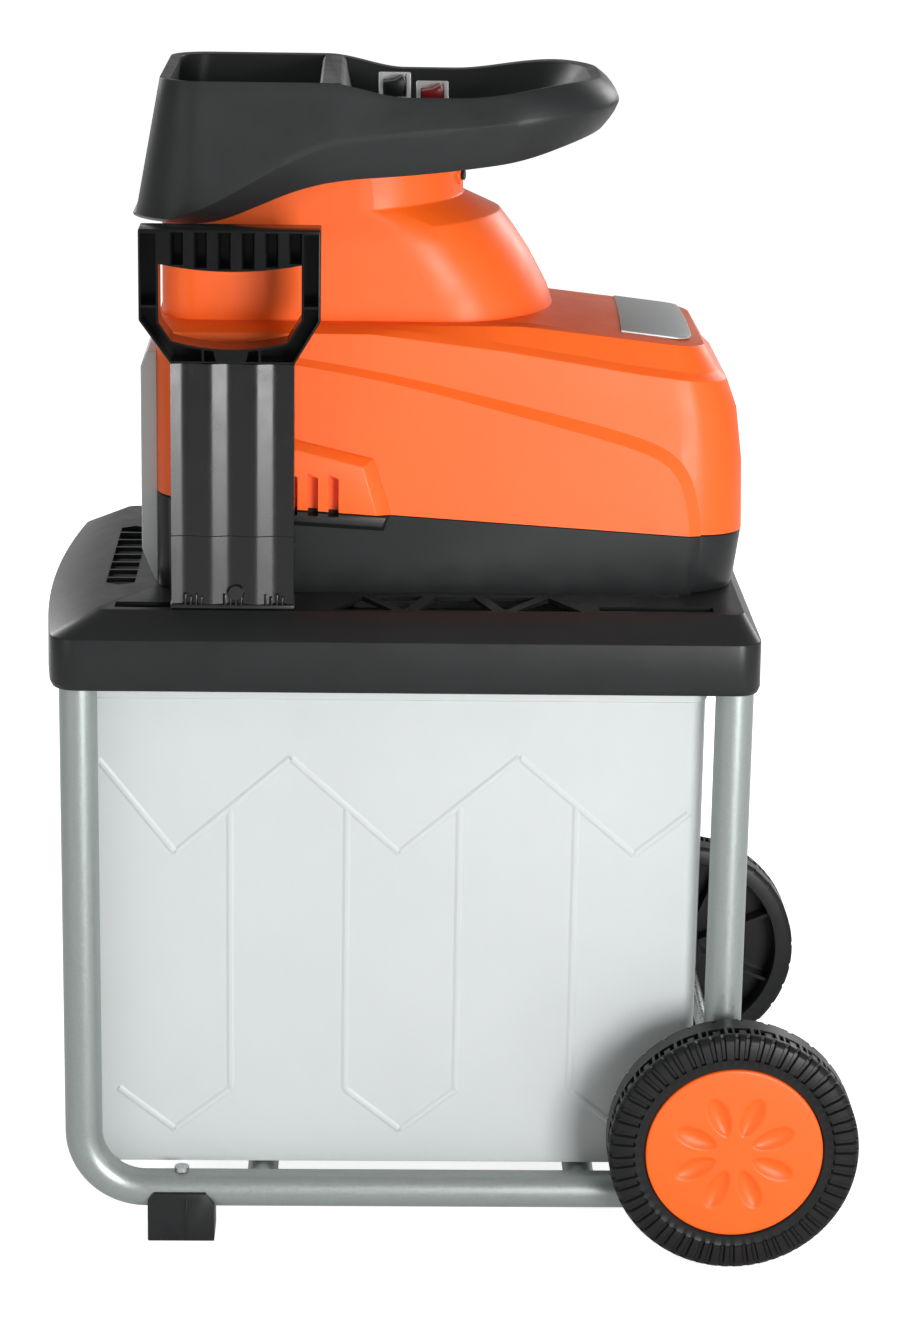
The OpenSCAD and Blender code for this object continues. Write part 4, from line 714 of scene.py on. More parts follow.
block_foot = [(VENT_FRONT, parting(VENT_FRONT)), (VENT_REAR, parting(VENT_REAR)), (-64.5, vent_top(-64.5)),
              (VENT_FRONT, vent_top(VENT_FRONT))]
block_face = [(VENT_FRONT + VENT_SLOPE_IN, parting(VENT_FRONT)), (-61.5, parting(-61.5)),
              (-72.6, vent_top(-72.6) - VENT_SLOPE_DOWN),
              (VENT_FRONT + VENT_SLOPE_IN, vent_top(VENT_FRONT) - VENT_SLOPE_DOWN)]
vent = on_flank("vent_block", (VENT_Y + VENT_SUNK, block_foot), (VENT_Y, block_foot),
                (VENT_Y - VENT_OUT, block_face))
round_edges(vent, 1.0, 3)
fuse(upper, [vent])
lip_foot = [(VENT_FRONT, 580), (-55, 573)] + [(x, parting(x) - SEAM) for x in (VENT_REAR, VENT_FRONT)]
lip_face = [(VENT_FRONT, 588), (-57, 580.5)] + [(x, parting(x) - SEAM) for x in (-54, VENT_FRONT)]
lip = on_flank("vent_lip", (VENT_Y + VENT_SUNK, lip_foot), (VENT_Y - VENT_OUT, lip_face))
round_edges(lip, 0.8, 2)
fuse(lower, [lip])
print("vent block from", VENT_FRONT, "to", VENT_REAR)

# %% [markdown]
# The slots are cut after the block is fused on, because one cutter then goes through block and shell
# together. The far flank has plain slots and the hole for the adjusting knob, and the inlet's opening is
# cut in the rear wall.

# %% Slots and openings
SLOT_LAST, SLOT_PITCH, SLOT_W, SLOT_DEPTH, SLOTS, FAR_SLOTS = -95.6, 16.2, 8.0, 12.0, 5, 6
SLOT_LOW, SLOT_CLIMB, SLOT_REAR_H, SLOT_FRONT_H = 588.5, 0.6, 30.5, 34.5
FAR_SLOT_X, FAR_SLOT_LOW = 40, 600
KNOB_X, KNOB_Z, KNOB_HOLE_R = -168, 606, 9
INLET_LOW, INLET_HIGH = (214, 28, 537.8), (240, 62, 563.8)


def slot_tool(x, low, y0, y1):
    x0, x1 = x - SLOT_W / 2, x + SLOT_W / 2
    shape = [(x0, low), (x1, low), (x1, low + SLOT_REAR_H), (x0, low + SLOT_FRONT_H)]
    return prism("slot_tool", shape, y0, y1)


near_slots = [(SLOT_LAST - SLOT_PITCH * i, SLOT_LOW + SLOT_CLIMB * i) for i in range(SLOTS)]
for shell in (upper, lower):
    cut(shell, [slot_tool(x, low, -140, VENT_Y - VENT_OUT + SLOT_DEPTH) for x, low in near_slots])
cut(upper, [slot_tool(FAR_SLOT_X - SLOT_PITCH * i, FAR_SLOT_LOW, 112, 140) for i in range(FAR_SLOTS)])
cut(upper, [prism("knob_hole", circle(KNOB_X, KNOB_Z, KNOB_HOLE_R), 90, 150)])
cut(lower, [block("inlet_hole", INLET_LOW, INLET_HIGH)])
place_piece(upper, "machine", orange_moulding, "upper_housing", angle=26)
place_piece(lower, "machine", black_moulding, "lower_housing", angle=30)

# %% [markdown]
# ## Feed cowl
# The cowl is the orange bell between the roof and the hopper: a flared skirt, a broad shoulder and a
# tilted collar. Its plan is rounded like a D, with the wide radius at the rear. The edges of the shoulder
# stay crisp, because they carry the line of the machine.

# %% Cowl
COWL_FRONT, COWL_FRONT_R, COWL_SUNK = -233.0, 28, 0.8
COLLAR_TOP, COLLAR_REAR, COLLAR_R = 877.0, 6, 84
COWL_PROFILE = [
    (80, 91, 88, lambda x: ROOF_Z), (75, 91, 88, lambda x: 755 + 0.02 * (x - 75)),
    (61, 90.5, 88, lambda x: 781 + 0.04 * (x - 61)), (48, 90.2, 88, lambda x: 800.5 + 0.06 * (x - 48)),
    (36, 90, 88, lambda x: 816 + 0.075 * (x - 36)),
    (COLLAR_REAR, 86, COLLAR_R, lambda x: 829.5 + 0.068 * (x - COLLAR_REAR)),
    (COLLAR_REAR, 86, COLLAR_R, lambda x: COLLAR_TOP),
]
BOSS_TURN, BOSS_Z = 16, 845


def cowl_rings(inset):
    """The lowest ring is let down on to the crowned roof."""
    rings = [outline(COWL_FRONT + inset, rear - inset, half - inset, COWL_FRONT_R - inset, rear_r - inset, z,
                     arc=20)
             for rear, half, rear_r, z in COWL_PROFILE]
    return [[(x, y, crown(x, y) - COWL_SUNK) for x, y, z in rings[0]]] + rings[1:]


def collar_boss(side):
    """A low round boss on the collar, turned to stand square to its curve."""
    a = math.radians(side * BOSS_TURN)
    along, across = Vector((math.cos(a), math.sin(a), 0)), Vector((-math.sin(a), math.cos(a), 0))
    centre = Vector((COLLAR_REAR - COLLAR_R, side * 2, BOSS_Z)) + COLLAR_R * along
    rings = [[tuple(centre + along * out + across * u + Vector((0, 0, v))) for u, v in circle(0, 0, r, 18)]
             for out, r in ((-2, 8), (1.2, 7), (1.6, 6))]
    return loft("screw_boss", rings)


cowl = loft("cowl", cowl_rings(0.0) + cowl_rings(SHELL)[::-1], loop=True)
round_edges(cowl, 1.2, 3, 24)
fuse(cowl, [collar_boss(side) for side in (-1, 1)])
place_piece(cowl, "machine", orange_moulding, "feed_cowl", angle=30)

# %% [markdown]
# ## Hopper
# The hopper is one black moulding with a coarse grain: a deep chute at the front, a divider, and a shallow
# tray whose rim dips beside the switches and rises again to a rounded nose. The skirt hangs low at the
# front and sweeps up to the nose, with a soft crease half-way down its flank. Three height lines along X,
# the rim, the crease and the skirt's edge, give the whole flank.

# %% Hopper lines
RIM_Z, RIM_HALF, TRAY_Z, THROAT_LOW, HOPPER_WALL = 926.0, 114.0, 880.0, 850, 3.0
RIM_DIP, DIP_START, DIP_FALL, DIP_RISE = 10.5, -105, 65, 95
HOPPER_FRONT, HOPPER_REAR = -257.0, 128.0
CREASE_Z, CREASE_X, CREASE_FALL, CREASE_DROP, CREASE_TURN, CREASE_RUN = 906, 118, 0.115, 48, -85, 150
SKIRT_LINE = [(-260, 815), (-190, 815.5), (-153, 831), (-123, 844), (-89, 851), (-46, 854), (0, 859),
              (47, 866), (89, 879), (130, 890)]


def rim(x):
    return RIM_Z - RIM_DIP * (ease((x - DIP_START) / DIP_FALL) - ease(x / DIP_RISE))


def skirt(x):
    """The skirt's edge, with its corners averaged away."""
    near = [between(SKIRT_LINE, x + d) for d in (-16, -8, 0, 8, 16)]
    return sum(near) / len(near)


def flank_crease(x):
    drop = CREASE_DROP * ease((CREASE_TURN - x) / CREASE_RUN)
    return max(skirt(x) + 4, CREASE_Z - CREASE_FALL * (CREASE_X - x) - drop)


def draw_in(front, nose, side, front_r, nose_r, z):
    """A plan of the hopper, drawn in from its front, its nose and its flanks."""
    return outline(HOPPER_FRONT + front, HOPPER_REAR - nose, RIM_HALF - side, front_r, nose_r, z,
                   arc=18, side=44, end=10)


def throat_ring(grow, z):
    return outline(THROAT[0] - grow, THROAT[1] + grow, THROAT[2] + grow, 8, 8, z, arc=18, side=44, end=10)


print("rim from", rim(HOPPER_FRONT), "down to", round(min(rim(x) for x in range(-100, 100)), 1))

# %% [markdown]
# The loft climbs the outside from the skirt's edge over the crease to the rim, goes down into the tray and
# the throat, and comes back up behind them as the inner wall. Rings lie closer near the crease and the rim,
# so that both stay narrow and soft. The divider is a plain prism, fused in last.

# %% Hopper moulding
FLANK_SHARES = (0, 0.15, 0.3, 0.45, 0.5, 0.55, 0.7, 0.82, 0.92, 1)
DIVIDER_HALF = 105
DIVIDER = [(-114, 879), (-110.5, 905), (-108.5, 922), (-106.5, 925), (-92.5, 925), (-89.5, 922), (-84, 900),
           (-80, 879)]


def flank_ring(t):
    """One ring of the outside: 0 is the skirt's edge, 0.5 the crease and 1 the rim."""
    if t < 0.5:
        u = 1 - t / 0.5
        return draw_in(4 - 4 * u, 12 * u ** 1.6, 10 * u ** 1.1 - 4, 50 + 12 * u, 92 - 4 * u,
                       lambda x: flank_crease(x) + u * (skirt(x) - flank_crease(x)))
    u = (t - 0.5) / 0.5
    return draw_in(4 + 20 * u, 15 * u * u, 6 * u ** 1.15 - 4, 50 - 18 * u, 92 - 8 * u,
                   lambda x: flank_crease(x) + u * (rim(x) - flank_crease(x)))


hopper = loft("hopper_moulding", [flank_ring(t) for t in FLANK_SHARES] + [
    draw_in(32, 23, 10, 26, 78, lambda x: rim(x) - 1),
    draw_in(31, 40, 13, 22, 70, TRAY_Z + 20),
    draw_in(29, 55, 16, 18, 60, TRAY_Z),
    throat_ring(0, TRAY_Z),
    throat_ring(0, THROAT_LOW),
    throat_ring(HOPPER_WALL, THROAT_LOW),
    throat_ring(HOPPER_WALL, TRAY_Z - HOPPER_WALL),
    draw_in(27, 52, 13, 20, 62, TRAY_Z - HOPPER_WALL),
    draw_in(27, 20, 6, 30, 80, lambda x: rim(x) - 7),
    draw_in(8, 4, 0, 48, 90, flank_crease),
    draw_in(3, 15, 9, 60, 86, skirt),
], loop=True)
round_edges(hopper, 2.6, 4, 24)
fuse(hopper, [prism("divider", DIVIDER, -DIVIDER_HALF, DIVIDER_HALF)])
place_piece(hopper, "machine", hopper_moulding, "hopper", angle=40)

# %% [markdown]
# ## Front cover and roof plate
# A grey cover closes the front of the housing: a shallow panel whose lower edge is cut back. The plate on
# the roof is bare satin metal. It follows the crown of the roof, so its rings are laid on that surface.

# %% Cover and plate
COVER_HALF = 94
COVER_OUTLINE = [(-236, 524.4), (-236, 712), (-244, 712), (-249, 700), (-249, 552), (-238, 526)]
PLATE_FRONT, PLATE_REAR, PLATE_HALF, PLATE_R, PLATE_SKEW, PLATE_STEPS = 131.0, 188.0, 84.0, 16.0, 0.03, 20
PLATE_FOOT, PLATE_EDGE, PLATE_TOP, PLATE_BEVEL = 0.1, 1.0, 1.4, 0.7
cover = prism("front_cover", COVER_OUTLINE, -COVER_HALF, COVER_HALF)
round_edges(cover, 2.5, 4)
place_piece(cover, "machine", cover_grey, "front_panel", angle=35)


def plate_ring(y):
    """A slice of the plate at one place across the roof. Its rear end follows the rounded corners."""
    over = max(0.0, abs(y) - (PLATE_HALF - PLATE_R))
    x0 = PLATE_FRONT + PLATE_SKEW * (PLATE_HALF + y)
    x1 = PLATE_REAR - PLATE_R + math.sqrt(max(0.0, PLATE_R ** 2 - over ** 2))
    section = ((x0, PLATE_FOOT), (x1, PLATE_FOOT), (x1, PLATE_EDGE), (x1 - PLATE_BEVEL, PLATE_TOP),
               (x0 + PLATE_BEVEL, PLATE_TOP), (x0, PLATE_EDGE))
    return [(x, y, crown(x, y) + lift) for x, lift in section]


quarters = [90 * i / PLATE_STEPS for i in range(-PLATE_STEPS, PLATE_STEPS + 1)]
slices = [PLATE_HALF * math.sin(math.radians(a)) for a in quarters]
plate = loft("roof_plate_bare", [plate_ring(y) for y in slices])
place_piece(plate, "machine", bare_plate, "roof_plate", angle=50)

# %% [markdown]
# ## Plunger
# The plunger pushes stubborn twigs down the chute. Its blade is a thin channel with a corrugated face, open
# at the back, and stands in a slot of the deck. The face folds between ridges and valleys, with broad flat
# facets that mirror the lamps as upright bands. A zigzag gives the folds, and a mean over a few millimetres
# rounds them. The section is carried up with a faint step at the line where the mould's two halves met.

# %% Plunger blade
BLADE_X, BLADE_W, BLADE_Y, BLADE_D, BLADE_WALL = -173.5, 95.0, -176.0, 36.0, 3.0
BLADE_LOW, BLADE_TOP, MOULD_LINE = 524.2, 717.8, 582.0
FOLD_PITCH, FOLD_DEPTH, FOLD_RIDGE, FOLD_FALL, FACE_STEPS = 35.0, 3.6, 29.9, 15.6, 96
BLADE_LEFT, BLADE_RIGHT = BLADE_X - BLADE_W / 2, BLADE_X + BLADE_W / 2


def sharp_fold(u):
    """Depth of a sharp corrugation: it falls from a ridge to a valley and climbs back."""
    past = (u - FOLD_RIDGE) % FOLD_PITCH
    fall, climb = past / FOLD_FALL, (FOLD_PITCH - past) / (FOLD_PITCH - FOLD_FALL)
    return FOLD_DEPTH * min(fall, climb)


def fold(u):
    return sum(sharp_fold(u + d) for d in (-2.5, -1.5, -0.5, 0.5, 1.5, 2.5)) / 6


def blade_ring(z, out):
    us = [BLADE_W * i / FACE_STEPS for i in range(FACE_STEPS + 1)]
    back = BLADE_Y + BLADE_D
    front = [(BLADE_LEFT + u, BLADE_Y + fold(u) - out) for u in us]
    inside = [(BLADE_LEFT + u, BLADE_Y + BLADE_WALL + fold(u)) for u in us[4:-4][::-1]]
    section = [(BLADE_LEFT, back)] + front + [(BLADE_RIGHT, back), (BLADE_RIGHT - BLADE_WALL, back)]
    section += inside + [(BLADE_LEFT + BLADE_WALL, back)]
    return [(x, y, z) for x, y in section]


blade = loft("fluted_blade", [blade_ring(BLADE_LOW, 0.5), blade_ring(MOULD_LINE, 0.5),
                              blade_ring(MOULD_LINE + 0.6, 0.0), blade_ring(BLADE_TOP, 0.0)])
print("blade", len(blade.data.polygons), "faces before its foot")

# %% [markdown]
# The foot of the blade has a flange that rests on the deck, a tongue that goes down into the slot, and short
# fine ribs with a round ejector mark among them. Stiffeners cross the open back. They are closed solids that
# only need to touch the blade, so they are joined to it and not fused.

# %% Foot of the blade
MARK_X, MARK_RINGS = -171, ((BLADE_Y + 3.5, 6), (BLADE_Y - 0.9, 6), (BLADE_Y - 1.2, 5.6))
TONGUE_HALF, BASE_RIB_PITCH, BASE_RIB_T, BASE_RIBS = 5.9, 4.2, 1.4, 4
extras = [block("base_flange", (BLADE_LEFT - 1, BLADE_Y - 1, BLADE_LOW),
                (BLADE_RIGHT + 1, BLADE_Y + BLADE_D + 1, BLADE_LOW + 4), 1),
          block("tongue", (BLADE_LEFT + 8, SLOT_Y - TONGUE_HALF, BLADE_LOW - 14),
                (BLADE_RIGHT - 12, SLOT_Y + TONGUE_HALF, BLADE_LOW + 1), 1),
          on_flank("mould_mark", *[(y, circle(MARK_X, BLADE_LOW + 13, r)) for y, r in MARK_RINGS])]
for first in (-211, -180, -148):
    for i in range(BASE_RIBS):
        x = first + BASE_RIB_PITCH * i
        extras.append(block("base_rib", (x, BLADE_Y - 1, BLADE_LOW + 3),
                            (x + BASE_RIB_T, BLADE_Y + 6, BLADE_LOW + 12 - 2 * (i % 2)), 0.3, 2))
for z in (573, 622, 671):
    extras.append(block("stiffener", (BLADE_LEFT + 1.5, BLADE_Y + FOLD_DEPTH + 1, z),
                        (BLADE_RIGHT - 1.5, BLADE_Y + BLADE_D - 4, z + 2)))
gather(blade, extras)
place_piece(blade, "plunger", blade_black, "plunger_blade", angle=35)

# %% [markdown]
# The handle is a ribbed frame around a finger gap. It starts as a plain block with the handle's outline. The
# gap is one cutter through it, with a floor and a roof that bow a little, as the fingers need.

# %% Plunger handle
GRIP_LEFT, GRIP_RIGHT, GRIP_NEAR, GRIP_FAR = -245.0, -106.0, -175.0, -143.0
GRIP_LOW, GRIP_SHOULDER, GRIP_TOP = BLADE_TOP, 751, 821.2
GAP_LEFT, GAP_RIGHT, GAP_TOP, GAP_MID, GAP_LOW = -229.7, -120.6, 794.7, -174.7, 729.3
GAP_FLOOR_LEFT, GAP_FLOOR_L, GAP_FLOOR_RISE, GAP_ROOF_SAG, GAP_STEPS = -219.9, 88.5, 6.2, 5.5, 12


def gap_floor(x):
    return GAP_LOW + GAP_FLOOR_RISE * ((x - GAP_MID) / 45) ** 2


def gap_roof(x):
    u = (x - GAP_LEFT) / (GAP_RIGHT - GAP_LEFT)
    return GAP_TOP - GAP_ROOF_SAG * 4 * u * (1 - u)


floor_xs = [GAP_FLOOR_LEFT + GAP_FLOOR_L * i / GAP_STEPS for i in range(GAP_STEPS + 1)]
roof_xs = [GAP_RIGHT + (GAP_LEFT - GAP_RIGHT) * i / GAP_STEPS for i in range(GAP_STEPS + 1)]
handle = prism("grip_handle", [(BLADE_LEFT, GRIP_LOW), (BLADE_RIGHT, GRIP_LOW), (GRIP_RIGHT, GRIP_SHOULDER),
                               (GRIP_RIGHT, GRIP_TOP), (GRIP_LEFT, GRIP_TOP), (GRIP_LEFT, GRIP_SHOULDER)],
               GRIP_NEAR, GRIP_FAR)
round_edges(handle, 1.2, 3)
gap_outline = [(GAP_LEFT, 750)] + [(x, gap_floor(x)) for x in floor_xs]
gap_outline += [(GAP_RIGHT, 752.8)] + [(x, gap_roof(x)) for x in roof_xs]
cut(handle, [prism("finger_gap", gap_outline, GRIP_NEAR - 5, GRIP_FAR + 5)])
print("finger gap from", GAP_LOW, "to", GAP_TOP)

# %% [markdown]
# Thin flanges follow the outer outline and the gap, with a deep recess between them that is closed at the
# back. The grip bar is a row of rounded ribs with blind slots between, so its cutters flare at the mouth.
# Each arm is recessed with two outlines, which leave a cross rib standing.

# %% Recesses, grip slots and ribs
RECESS, FLANGE, WEB_HALF = 27.0, 1.8, 0.9
GRIP_SLOTS, GRIP_SLOT_FIRST, GRIP_SLOT_PITCH, GRIP_CAP = 6, 29.3, 18.1, 2.2
GRIP_FLARE = ((GRIP_NEAR - 1, 5.6), (GRIP_NEAR + 1, 4.4), (GRIP_NEAR + 3.5, 3.5), (GRIP_NEAR + RECESS, 3.5))
arm_recess = [[(-243.2, 818), (-243.2, 763), (-231.5, 763), (-231.5, 818)],
              [(-243.2, 761), (-243.2, 751.7), (-220.4, 719.8), (-186, 719.8)]
              + [(x, gap_floor(x) - FLANGE) for x in (-188, -196, -204, -212)]
              + [(-221.4, 734.2), (-231.5, 749.5), (-231.5, 761)],
              [(-118.8, 818), (-118.8, 763), (-107.8, 763), (-107.8, 818)],
              [(-118.8, 761), (-118.8, 752.3), (-130, 734.2)]
              + [(x, gap_floor(x) - FLANGE) for x in (-137, -145, -153, -161)]
              + [(-163, 719.8), (-126.6, 719.8), (-107.8, 751.7), (-107.8, 761)]]
tools = [prism("recess", shape, GRIP_NEAR - 2, GRIP_NEAR + RECESS) for shape in arm_recess]
for i in range(GRIP_SLOTS):
    x = GRIP_LEFT + GRIP_SLOT_FIRST + GRIP_SLOT_PITCH * i
    low, high = gap_roof(x) + FLANGE, GRIP_TOP - GRIP_CAP
    tools.append(on_flank("grip_slot", *[(y, [(x - h, low), (x + h, low), (x + h, high), (x - h, high)])
                                         for y, h in GRIP_FLARE]))
cut(handle, tools)
fuse(handle, [block("web_rib", (x - WEB_HALF, GRIP_NEAR + 1, GRIP_LOW + 0.5),
                    (x + WEB_HALF, GRIP_NEAR + RECESS + 1, gap_floor(x) - 0.6)) for x in (-196, -152.5)])
place_piece(handle, "plunger", gloss_black, "plunger_handle", angle=30)

# %% [markdown]
# ## Chip box
# The box is blow-moulded in milky plastic, thin enough to glow. Its walls carry raised ridges for
# stiffness: a zigzag along the top, uprights below it and short V shapes near the floor. The body is an
# open loft, up the outside and down the inside, whose capped ends are the two faces of the floor. Each ridge
# is a low bar with slanted sides.

# %% Chip box
BOX_FRONT, BOX_REAR, BOX_HALF, BOX_R = -299.0, 202.5, 167.5, 16.0
BOX_LOW, BOX_TOP, BOX_RELIEF = 52.4, 460.0, 1.5
ZIGZAG = [(-281, 398), (-220, 320), (-128, 400), (-41, 321), (54, 402), (147, 321), (190, 356)]
UPRIGHTS, UPRIGHT_LOW, V_LOW, V_PAIRS = (-176, -83, 7, 100), 118, 82, ((-267, -176), (-83, 7), (100, 190))
RIDGE_OUT, RIDGE_FOOT, RIDGE_CREST = 0.9, 3.2, 1.0


def box_ring(inset, z):
    return outline(BOX_FRONT + inset, BOX_REAR - inset, BOX_HALF - inset, BOX_R - inset, BOX_R - inset, z,
                   arc=8, side=4, end=4)


def ridge(p, q, side):
    """A bar from p to q on the wall, wide at its foot and narrow at its crest."""
    along = Vector((q[0] - p[0], q[1] - p[1])).normalized()
    nx, nz = -along.y, along.x
    wall_y = BOX_HALF - BOX_RELIEF
    section = ((-RIDGE_FOOT, -0.6), (RIDGE_FOOT, -0.6), (RIDGE_FOOT, 0.0), (RIDGE_CREST, RIDGE_OUT),
               (-RIDGE_CREST, RIDGE_OUT), (-RIDGE_FOOT, 0.0))
    return loft("ridge", [[(x + nx * w, side * (wall_y + out), z + nz * w) for w, out in section]
                          for x, z in (p, q)])


box_wall = ((6, BOX_LOW), (2.5, BOX_LOW + 1.5), (BOX_RELIEF, BOX_LOW + 6), (BOX_RELIEF, BOX_TOP - 12),
            (0, BOX_TOP - 11), (0, BOX_TOP - 0.5), (0.5, BOX_TOP), (4, BOX_TOP), (4.5, BOX_TOP - 0.5),
            (4.5, BOX_LOW + 9), (9, BOX_LOW + 4))
box = loft("chip_box", [box_ring(inset, z) for inset, z in box_wall])
ridges = []
for side in (-1, 1):
    lines = list(zip(ZIGZAG, ZIGZAG[1:]))
    lines += [((x, UPRIGHT_LOW), (x, between(ZIGZAG, x) - 2)) for x in UPRIGHTS]
    for left, right in V_PAIRS:
        middle = ((left + right) / 2, V_LOW)
        lines += [((left, UPRIGHT_LOW), middle), (middle, (right, UPRIGHT_LOW))]
    ridges += [ridge(p, q, side) for p, q in lines]
print(len(ridges), "ridges")
gather(box, ridges)

# %% [markdown]
# The front of the box has a pull ledge and two hooked guides for the sliding lock. The lock is a red slide
# with finger ribs, and pushing it up works the safety switch under the deck.

# %% Pull ledge and guides
LOCK_X, LOCK_Y, LOCK_W, LOCK_PLAY = -299.4, 118.0, 34.0, 0.4
GUIDE_T, GUIDE_LOW, GUIDE_TOP, HOOK_OUT = 4.0, BOX_TOP - 34, BOX_TOP - 4, 1.5
PULL_HALF, PULL_OUT, WALL_IN = 70, 12, BOX_FRONT + 3
fittings = [block("pull_ledge", (BOX_FRONT - PULL_OUT, -PULL_HALF, BOX_TOP - 6),
                  (WALL_IN, PULL_HALF, BOX_TOP - 2), 1.2)]
for side in (-1, 1):
    y = LOCK_Y + side * (LOCK_W / 2 + LOCK_PLAY + GUIDE_T / 2)
    hook = y - side * HOOK_OUT
    fittings += [block("guide", (LOCK_X - 4.4, y - GUIDE_T / 2, GUIDE_LOW),
                       (WALL_IN, y + GUIDE_T / 2, GUIDE_TOP)),
                 block("hook", (LOCK_X - 6.4, hook - GUIDE_T / 2 - HOOK_OUT, GUIDE_LOW),
                       (LOCK_X - 4.3, hook + GUIDE_T / 2 + HOOK_OUT, GUIDE_TOP), 0.5, 2)]
gather(box, fittings)
place_piece(box, "box", box_milky, "collection_box", angle=14)

# %% [markdown]
# ## Wheels
# A wheel is one hard moulding with a tyre pattern. Two narrow recesses and a wide rib repeat thirty times
# round the side wall, and the tread has hooked holes in the same beat. The wheel is a loft of circles, and
# each point of a ring is moved in or out by its place in the beat, so no cutting is needed.

# %% Tyre pattern
AXLE_X, AXLE_Z, TYRE_R = 227.5, 100.0, 100.0
BEATS, STEPS = 30, 16
TREAD_DEPTH, SIDE_DEPTH = 3.8, 2.2
# Steps of a beat that are cut in, for each kind of ring
CUT_STEPS = {"side": (1, 2, 3, 8, 9, 10), "edge": (1, 2, 8, 9), "arms": (1, 2, 8, 9, 12, 13),
             "bar": (1, 2, 3, 4, 5, 6, 7, 8, 9, 12, 13), "far": (4, 5), None: ()}


def wheel_ring(r, y, kind=None):
    """A circle of the wheel. Side rings are cut in along the axle, and tread rings towards it."""
    ring = []
    for i in range(BEATS * STEPS):
        t = 2 * math.pi * i / (BEATS * STEPS)
        pressed = i % STEPS in CUT_STEPS[kind]
        depth = SIDE_DEPTH if pressed and kind == "side" else 0.0
        radius = r - (TREAD_DEPTH if pressed and kind != "side" else 0.0)
        ring.append((AXLE_X + radius * math.cos(t), -(y - depth), AXLE_Z + radius * math.sin(t)))
    return ring


WHEEL_PROFILE = [
    (71.5, 242, None), (71.5, 250.6, None), (72.5, 251.6, None), (79.2, 251.6, None), (79.9, 252.0, "side"),
    (81.0, 252.9, "side"), (94.5, 252.9, "side"), (97.2, 251.6, "side"), (99.2, 249.4, "edge"),
    (TYRE_R, 247.4, "edge"), (TYRE_R, 247.0, None), (TYRE_R, 245.2, None), (TYRE_R, 245.0, "arms"),
    (TYRE_R, 238.6, "arms"), (TYRE_R, 238.4, "bar"), (TYRE_R, 233.8, "bar"), (TYRE_R, 233.6, None),
    (TYRE_R, 219.3, None), (TYRE_R, 219.0, "far"), (TYRE_R, 215.0, "far"), (98.6, 213.6, None),
    (95.0, 212.2, None), (84.5, 212.2, None), (83.8, 213.0, None), (83.8, 238.0, None),
    (9.0, 238.0, None), (9.0, 242.0, None)]
wheel = loft("right_tyre", [wheel_ring(r, y, kind) for r, y, kind in WHEEL_PROFILE], loop=True)
print("tyre", len(wheel.data.polygons), "faces")

# %% [markdown]
# Inside the rim a hub and eight thin spokes carry the load. Four bars laid across the hub make the eight
# spokes. The finished wheel is mirrored for the other side.

# %% Spokes and hub
HUB_R, SPOKE_T, SPOKE_REACH, AXLE_HOLE_R = 15.0, 3.0, 84.2, 6.2
hub_inner_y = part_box("right_wheel")[1][1] / MM
hub = prism("spokes", circle(AXLE_X, AXLE_Z, HUB_R, 48), -241, hub_inner_y)
bars = []
for i in range(4):
    a = math.radians(45 * i + 22.5)
    along, across = Vector((math.cos(a), math.sin(a))), Vector((-math.sin(a), math.cos(a)))
    corners = [along * u * SPOKE_REACH + across * v * SPOKE_T / 2
               for u, v in ((-1, -1), (1, -1), (1, 1), (-1, 1))]
    bars.append(prism("bar", [(AXLE_X + c.x, AXLE_Z + c.y) for c in corners], -239, -220))
fuse(hub, bars)
fuse(wheel, [hub])
cut(wheel, [prism("axle_hole", circle(AXLE_X, AXLE_Z, AXLE_HOLE_R, 36), -250, -150)])
place_piece(wheel, "right_wheel_body", tyre_black, "right_wheel", angle=30)
left_wheel = mirrored(wheel, "left_tyre")
place_piece(left_wheel, "left_wheel_body", tyre_black, "left_wheel", angle=30)

# %% [markdown]
# The hub cap is a shallow orange disc with eight teardrop dimples. A fine polar grid is lofted from the
# back, round the edge and in to the centre of the face. The dimples are pressed in by a smooth function of
# the place along and across each petal.

# %% Hub caps
PETALS, PETAL_IN, PETAL_OUT, PETAL_HALF, PETAL_DEPTH = 8, 16.5, 50.0, 8.5, 3.6
CAP_FACE, CAP_CROWN, FACE_RINGS, FACE_PITCH = 252.4, 0.8, 55, 1.25
CAP_BACK = ((1, 248), (66, 248), (67.5, 242.3), (70.8, 242.3), (70.8, 250.4), (70.0, 251.4))


def dimple(r, t):
    """Depth of the petals at radius r and angle t."""
    beat = 2 * math.pi / PETALS
    off = (t % beat) - beat / 2
    u, v = (r * math.cos(off) - PETAL_IN) / (PETAL_OUT - PETAL_IN), r * math.sin(off)
    if not 0 < u < 1:
        return 0.0
    half = PETAL_HALF * math.sqrt(4 * u * (1 - u)) * (0.88 + 0.2 * u)
    return PETAL_DEPTH * math.sqrt(4 * u * (1 - u)) * max(0.0, 1 - (v / half) ** 2)


def cap_ring(r, y, pressed=False, count=192):
    ring = []
    for i in range(count):
        t = 2 * math.pi * i / count
        depth = dimple(r, t) if pressed else 0
        ring.append((AXLE_X + r * math.cos(t), -(y - depth), AXLE_Z + r * math.sin(t)))
    return ring


face = [cap_ring(1 + FACE_PITCH * i, CAP_FACE - CAP_CROWN * (i / (FACE_RINGS - 1)) ** 4, True)
        for i in range(FACE_RINGS)]
cap = loft("right_cap", [cap_ring(r, y) for r, y in CAP_BACK] + face[::-1])
place_piece(cap, "right_wheel_body", orange_moulding, "right_hub_cap", angle=50)
left_cap = mirrored(cap, "left_cap")
place_piece(left_cap, "left_wheel_body", orange_moulding, "left_hub_cap", angle=50)

